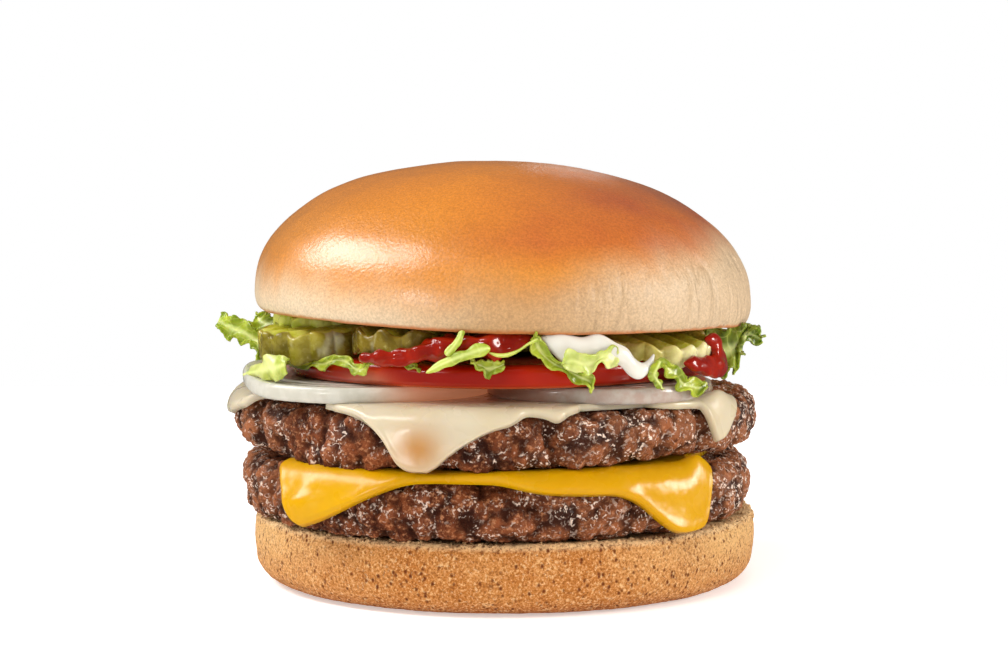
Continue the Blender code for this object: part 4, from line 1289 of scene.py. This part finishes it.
def leaf(
    name, node, one_edge, other_edge, ruffle=0.7, waves=3.0, crumple=0.6, bulge=0.6, ragged=0.25, seed=0.0,
    finish=leaf_finish, long=80, wide=30,
):
    """A leaf stretched between two edges, each a list of places. bulge is how far its middle stands out."""
    first, second = edges(one_edge, other_edge, long)
    span = second - first
    facing = np.cross(np.gradient((first + second) / 2, axis=0), span)
    facing /= np.linalg.norm(facing, axis=1)[:, None] + 1e-12
    sides = np.linspace(-1, 1, wide)
    rows = []
    for k in range(long):
        torn = []
        for side in sides:
            edge = Vector((k / long * 8, 5 * np.sign(side), seed))
            tear = noise.noise(edge) + 0.7 * noise.noise(edge * 3.1)
            torn.append(0.5 + 0.5 * side * (1 + ragged * tear * abs(side) ** 3))
        across = np.array(torn)[:, None]
        rows.append(first[k] + span[k] * across + facing[k] * (bulge * MM * (1 - sides**2))[:, None])
    along = np.repeat(np.linspace(0, 1, long)[:, None], wide, axis=1)
    piece = grid_mesh(name, np.array(rows), wrap=False, across=np.tile(sides, (long, 1)), along=along)
    run_tree(piece, leaf_tree, finish, {
        "Ruffle": ruffle * MM, "Waves": float(waves), "Crumple": crumple * MM, "Seed": seed,
    })
    wall = piece.modifiers.new("Thickness", "SOLIDIFY")
    wall.thickness = LEAF_THICKNESS
    wall.offset = 0.0
    settle(piece)
    close_poles(piece)
    serve(piece, node)


# %% Leaves at the left
leaf(
    "far_left_leaf", "lettuce_far_left",
    [(189.4, 54.6, 47.8), (188.1, 55.2, 51.2), (186.6, 56.7, 51.4), (185.2, 59.0, 52.3), (184.0, 60.8, 52.4),
     (182.7, 63.4, 54.9)],
    [(189.8, 52.3, 48.0), (188.5, 52.4, 51.1), (187.1, 53.2, 53.6), (185.5, 56.0, 55.9), (184.1, 59.0, 57.2),
     (182.8, 62.3, 57.7)],
    ruffle=1.0, waves=3.5, crumple=0.8, ragged=0.4, seed=1.0,
)
leaf(
    "left_tip_leaf", "lettuce_left_tip",
    [(186.6, 52.3, 51.0), (184.7, 53.4, 53.7), (182.8, 55.4, 54.9), (181.0, 54.8, 56.9)],
    [(187.1, 47.8, 52.9), (184.9, 49.7, 56.1), (182.9, 52.1, 58.0), (181.0, 54.6, 58.0)],
    ruffle=0.8, ragged=0.4, seed=2.0,
)
leaf(
    "low_left_leaf", "lettuce_left_low",
    [(220.2, 58.0, 51.2), (217.0, 58.2, 51.6), (212.7, 58.4, 51.0), (209.2, 58.6, 49.0), (203.4, 59.4, 46.5)],
    [(220.8, 58.5, 48.4), (218.3, 58.6, 46.7), (215.4, 58.6, 46.1), (210.9, 58.8, 46.4), (204.2, 59.6, 46.0)],
    ruffle=0.45, crumple=0.8, bulge=0.7, ragged=0.12, seed=3.0, finish=young_leaf_finish,
)
leaf(
    "front_left_ruffle", "lettuce_front_left",
    [(206.3, 50.8, 49.4), (212.7, 51.0, 49.9), (220.8, 51.2, 50.6), (226.0, 51.4, 51.6), (230.4, 51.5, 52.0),
     (234.1, 51.7, 50.8), (236.2, 52.2, 50.5), (238.5, 51.9, 52.0), (240.2, 51.6, 52.7), (243.7, 51.6, 51.6),
     (247.0, 51.8, 51.4), (249.5, 51.9, 50.9), (251.2, 52.0, 50.3)],
    [(206.3, 50.8, 48.4), (213.7, 51.2, 48.2), (219.1, 51.5, 48.8), (223.5, 51.6, 48.6), (227.8, 51.6, 50.0),
     (232.0, 52.0, 49.4), (234.4, 52.6, 48.4), (236.8, 52.6, 48.5), (238.5, 52.2, 50.2), (240.5, 51.9, 51.3),
     (243.7, 51.8, 51.0), (247.0, 52.0, 50.7), (249.5, 52.2, 50.2), (251.2, 52.2, 49.9)],
    ruffle=0.5, waves=9.0, crumple=0.5, bulge=0.4, ragged=0.3, seed=4.0, long=190, wide=16,
)

# %% Leaves at the front
leaf(
    "low_front_leaf", "lettuce_front_low",
    [(262.7, 53.4, 52.5), (264.9, 53.6, 52.2), (267.4, 53.6, 52.3), (270.0, 53.4, 52.1)],
    [(262.9, 53.8, 51.7), (264.9, 54.0, 50.4), (267.0, 54.2, 48.8), (270.0, 53.8, 51.1)],
    ruffle=0.5, ragged=0.3, seed=5.0, long=50, wide=20,
)
leaf(
    "front_blade", "lettuce_front_blade",
    [(276.7, 54.4, 58.0), (277.7, 54.8, 56.8), (279.0, 55.0, 54.4), (281.7, 55.0, 52.0), (284.5, 55.0, 50.9),
     (286.7, 55.1, 49.8), (289.1, 55.1, 48.8), (289.2, 55.2, 46.4)],
    [(275.4, 54.2, 56.4), (276.0, 54.8, 54.0), (277.5, 55.1, 52.3), (280.0, 55.2, 51.0), (282.6, 55.2, 49.5),
     (285.4, 55.2, 48.0), (287.6, 55.2, 46.6), (288.8, 55.3, 45.8)],
    ruffle=0.5, waves=3.5, crumple=0.5, bulge=0.8, seed=7.0, long=100,
)
leaf(
    "front_face", "lettuce_front_face",
    [(281.5, 56.6, 51.9), (282.3, 56.8, 53.9), (283.6, 56.8, 54.5), (286.0, 56.5, 53.8), (289.2, 56.3, 53.3),
     (290.8, 56.1, 54.0), (292.3, 55.9, 55.1), (293.8, 55.7, 54.7), (294.4, 55.6, 53.6)],
    [(281.9, 57.0, 51.3), (283.8, 57.2, 50.5), (285.5, 57.2, 49.8), (287.2, 57.0, 49.5), (288.6, 56.8, 50.6),
     (290.2, 56.4, 51.6), (292.0, 56.4, 50.7), (293.4, 56.0, 50.8), (294.4, 55.8, 51.6)],
    bulge=0.5, ragged=0.2, seed=8.0, finish=young_leaf_finish, long=100,
)
leaf(
    "right_bit", "lettuce_right_bit",
    [(303.4, 55.8, 51.7), (301.4, 55.8, 48.9), (302.4, 56.0, 47.1), (304.2, 56.2, 45.5)],
    [(304.5, 55.8, 51.2), (303.6, 55.8, 49.0), (304.4, 56.0, 47.4), (305.2, 56.2, 45.7)],
    ruffle=0.4, ragged=0.2, seed=9.0, long=50, wide=16,
)
leaf(
    "low_right_leaf", "lettuce_right_low",
    [(304.5, 54.8, 51.6), (307.6, 55.0, 51.2), (310.7, 55.1, 49.4), (313.6, 55.3, 47.2), (317.4, 55.4, 46.8),
     (319.5, 55.4, 45.6)],
    [(304.5, 55.2, 50.7), (306.3, 55.4, 49.2), (308.4, 55.6, 47.4), (310.6, 55.9, 45.4), (313.8, 56.2, 44.0),
     (318.9, 56.0, 44.6)],
    ruffle=0.8, waves=3.5, bulge=0.8, seed=10.0,
)
leaf(
    "far_right_leaf", "lettuce_far_right",
    [(337.0, 47.0, 55.2), (340.2, 50.7, 56.0), (342.0, 53.1, 56.4), (343.7, 55.6, 56.3), (344.9, 56.7, 55.2),
     (345.9, 57.8, 53.6)],
    [(337.5, 48.7, 50.0), (339.9, 50.1, 45.5), (341.6, 52.0, 46.7), (342.9, 53.2, 49.4), (343.8, 53.4, 52.4),
     (345.8, 57.4, 53.0)],
    ruffle=1.0, waves=4.0, crumple=1.0, bulge=1.0, ragged=0.3, seed=11.0, finish=deep_leaf_finish,
    long=100, wide=50,
)

# %% [markdown]
# The photo doesn't show the back, so three plain fans of lettuce stand there. The crumpled leaves
# between the buns are one lumpy layer, which shows only in the dark gaps.

# %% Leaves at the back and the crumpled middle
BACK_LEAVES = (
    # name, node, then four stations: angles, radii, heights and half widths in degrees, and a seed
    ("back_right_leaf", "lettuce_back_right", (18, 20, 21, 22), (30, 42, 50, 57.5), (53.4, 53.2, 52.4, 50.4),
     (15, 16.5, 15, 8), 12.0),
    ("back_leaf", "lettuce_back", (99, 100, 101, 102), (32, 42, 49, 56.5), (53.4, 53.0, 52.2, 49.8),
     (14, 16.5, 16.5, 9), 13.0),
    ("back_left_leaf", "lettuce_back_left", (143, 143, 142, 141), (30, 42, 50, 58), (53.4, 53.2, 52.8, 51.6),
     (15, 16.5, 15, 8), 14.0),
)
for name, node, angles, radii, heights, widths, seed in BACK_LEAVES:
    stations = list(zip(angles, radii, heights, widths))
    one, other = ([(a + side * w, r, z) for a, r, z, w in stations] for side in (-1, 1))
    leaf(name, node, one, other, ruffle=1.8, waves=4, crumple=1.6, seed=seed, ragged=0.2, long=100, wide=70)

BED_RADIUS, BED_BACK = 31, 5
BED_PROFILE = (
    # share of the radius, height in millimetres
    (0, 51.0), (0.7, 51.0), (0.95, 51.4), (1.03, 52.4), (0.99, 53.6), (1.0, 54.8), (0.95, 56.0), (0.85, 56.6),
    (0.6, 56.8), (0.3, 56.8), (0, 56.8),
)
turns = round_turns(240)
rows = []
for share, height in BED_PROFILE:
    folds = 1 + 0.06 * np.cos(4 * turns + 1) + 0.04 * np.cos(9 * turns) + 0.03 * np.cos(23 * turns + height)
    radius = share * (BED_RADIUS + BED_BACK * np.maximum(np.sin(turns), 0)) * folds
    rows.append(turned(turns, radius * MM, (height + share * 0.5 * np.cos(11 * turns + 3 * share)) * MM))
rows = np.array(rows)
bed = grid_mesh("lettuce_middle", rows, across=np.ones(rows.shape[:2]))
close_poles(bed)
bed.data.materials.append(deep_leaf_finish)
serve(bed, "lettuce_bed")

# %% [markdown]
# ## Ribs and sauces
#
# A thick lettuce rib, a run of ketchup and a fold of mayonnaise are all rounded strands: an oval
# that is carried between two edges and closes at both ends, with noise to swell it here and there.

# %% Helper for strands


def strand(
    name, node, one_edge, other_edge, depths, finish, swell=0.2, size=4.0, seed=0.0, long=100,
    round_about=40,
):
    """A rounded strand between two edges, each a list of places. depths are half-depths in millimetres."""
    first, second = edges(one_edge, other_edge, long)
    middle, half = (first + second) / 2, (first - second) / 2
    facing = np.cross(np.gradient(middle, axis=0), half)
    facing /= np.linalg.norm(facing, axis=1)[:, None]
    ends = np.sqrt(np.clip(1 - np.abs(2 * np.linspace(0, 1, long) - 1) ** 10, 0, 1))
    deep = through([[d] for d in depths], long)[:, 0] * MM * ends
    turns = round_turns(round_about)
    offset = Vector((seed, 0, 0))
    rows = []
    for k in range(long):
        ring = half[k] * ends[k] * np.cos(turns)[:, None] + facing[k] * (deep[k] * np.sin(turns))[:, None]
        spots = (middle[k] + ring).tolist()
        lumps = [1 + swell * noise.noise(Vector(p) / (size * MM) + offset) for p in spots]
        rows.append(middle[k] + ring * np.array(lumps)[:, None])
    piece = grid_mesh(name, np.array(rows), across=np.tile(0.7 * np.cos(turns), (long, 1)))
    piece.data.materials.append(finish)
    close_poles(piece)
    serve(piece, node)


# %% Ribs
strand(
    "long_rib", "lettuce_rib_long",
    [(253.3, 55.6, 49.9), (256.7, 55.8, 52.2), (259.9, 55.8, 53.7), (263.0, 55.7, 55.1), (265.1, 55.6, 55.8),
     (267.1, 55.6, 55.6)],
    [(254.3, 56.0, 49.4), (257.5, 56.1, 50.6), (260.6, 56.1, 51.8), (263.5, 56.1, 52.6), (265.9, 56.0, 53.3),
     (267.4, 56.0, 54.2)],
    [0.5, 0.7, 0.7, 0.8, 1.0, 0.8], rib_finish, swell=0.4, size=2.2, seed=1.0,
)
strand(
    "short_rib", "lettuce_rib_short",
    [(260.6, 54.6, 58.4), (260.0, 55.2, 56.8), (258.6, 55.7, 55.2), (257.6, 55.9, 53.6)],
    [(262.1, 54.8, 58.2), (261.5, 55.4, 56.4), (260.3, 56.0, 54.4), (258.7, 56.2, 52.9)],
    [0.5] * 4, rib_finish, swell=0.4, size=2.2, seed=2.0, long=60,
)
strand(
    "thin_strip", "lettuce_strip",
    [(266.7, 54.7, 54.2), (268.7, 54.8, 53.8), (270.8, 54.8, 53.9), (272.9, 54.8, 54.6), (275.4, 54.7, 56.2),
     (277.5, 54.6, 57.4)],
    [(266.9, 54.9, 53.6), (268.8, 55.0, 53.0), (270.8, 55.0, 53.1), (272.9, 55.0, 53.9), (275.4, 54.9, 55.4),
     (277.7, 54.8, 56.4)],
    [0.3] * 6, rib_finish, swell=0.3, size=2.0, seed=6.0, round_about=16,
)

# %% [markdown]
# The sauces are wet, so their coat is smooth and mirror-like, and the oval's soft curve is what
# catches the light. Mayonnaise also lets light in, which keeps its folds bright.

# %% Finish of the sauces


def ketchup_finish(tree):
    return {
        "Base Color": specks(tree, 6 * MM).spread(0.35, 0.68).blend(colour(132, 16, 0), colour(156, 30, 3)),
        "Roughness": 0.3, "Specular IOR Level": 0.1, "Coat Weight": 0.8, "Coat Roughness": 0.03,
        "Normal": bump(specks(tree, 3.6 * MM, 1), 1.0, 0.8 * MM),
    }


def mayonnaise_finish(tree):
    return {
        "Base Color": specks(tree, 8 * MM).spread(0.35, 0.7).blend(
            colour(228, 226, 216), colour(220, 214, 202),
        ),
        "Roughness": 0.25,
        "Subsurface Weight": 0.3, "Subsurface Radius": (2.5 * MM, 2.2 * MM, 1.6 * MM),
        "Subsurface Scale": 1.0,
        "Coat Weight": 0.3, "Coat Roughness": 0.12, "Normal": bump(specks(tree, 3 * MM), 0.25, 0.4 * MM),
    }


ketchup = new_finish("ketchup_gloss", ketchup_finish)
mayonnaise = new_finish("mayonnaise_cream", mayonnaise_finish)

# %% Sauces
strand(
    "front_ketchup", "ketchup_front",
    [(236.0, 52.4, 51.6), (237.9, 52.6, 53.2), (240.2, 52.6, 53.2), (243.2, 52.6, 53.8), (245.7, 52.4, 54.6),
     (248.6, 52.2, 54.8), (251.2, 52.0, 55.2), (253.3, 51.8, 56.5), (255.8, 51.6, 57.2), (259.7, 51.4, 57.4),
     (264.6, 51.2, 57.4), (270.2, 51.0, 57.3), (274.5, 50.6, 57.2), (277.0, 50.4, 56.9)],
    [(236.8, 53.2, 50.7), (238.9, 53.6, 51.0), (241.6, 53.7, 50.8), (244.0, 53.6, 50.6), (246.7, 53.6, 50.4),
     (249.5, 53.6, 50.9), (251.8, 53.6, 51.6), (254.5, 53.4, 52.3), (257.6, 53.2, 52.7), (260.7, 53.2, 52.7),
     (265.2, 52.8, 52.8), (270.2, 52.4, 53.0), (274.0, 51.8, 53.8), (276.7, 51.2, 55.0)],
    [1.0, 1.3, 1.6, 1.4, 1.5, 1.7, 2.6, 3.2, 2.4, 1.6, 2.2, 1.9, 1.4, 1.0],
    ketchup, swell=0.85, size=3.5, seed=3.0, long=220,
)
strand(
    "right_ketchup", "ketchup_right",
    [(312.9, 54.2, 50.9), (316.2, 54.1, 51.4), (320.7, 53.8, 51.0), (323.6, 53.2, 52.2), (323.2, 52.9, 54.6),
     (325.0, 52.6, 56.2)],
    [(312.7, 54.4, 49.8), (316.6, 54.6, 47.9), (321.8, 54.5, 46.8), (328.5, 54.0, 47.2), (331.4, 53.4, 49.4),
     (329.6, 53.1, 52.4), (328.1, 52.8, 55.2)],
    [0.8, 1.3, 1.4, 1.5, 1.3, 1.1, 0.9], ketchup, swell=0.5, size=2.8, seed=5.0, long=140,
)
strand(
    "mayonnaise_fold", "mayonnaise",
    [(277.6, 51.6, 57.0), (279.6, 52.2, 57.4), (282.7, 52.6, 57.5), (287.1, 53.0, 57.5), (291.2, 53.2, 57.3),
     (293.9, 53.4, 56.3), (297.0, 53.8, 54.4), (299.1, 54.0, 52.1), (301.0, 54.2, 51.2), (302.9, 54.2, 52.1),
     (303.9, 54.2, 53.2)],
    [(278.4, 52.4, 56.0), (279.9, 53.6, 54.0), (282.5, 54.0, 52.0), (286.4, 54.2, 51.4), (290.5, 54.2, 51.8),
     (293.2, 54.3, 51.8), (295.5, 54.6, 50.6), (297.8, 54.8, 49.0), (300.2, 55.0, 48.2), (302.6, 55.0, 49.6),
     (304.3, 54.6, 52.2)],
    [1.0, 1.4, 1.6, 1.6, 1.5, 1.4, 1.4, 1.4, 1.3, 1.0, 0.6],
    mayonnaise, swell=0.45, size=4.5, seed=7.0, long=160,
)

# %% [markdown]
# ## Size
#
# The dressed burger has to fill the same box as its solids, so the size of its box is printed, in
# millimetres.

# %% The size of the dressed burger
low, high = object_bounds()
print("visual size in mm:", [round((b - a) / MM, 1) for a, b in zip(low, high)])
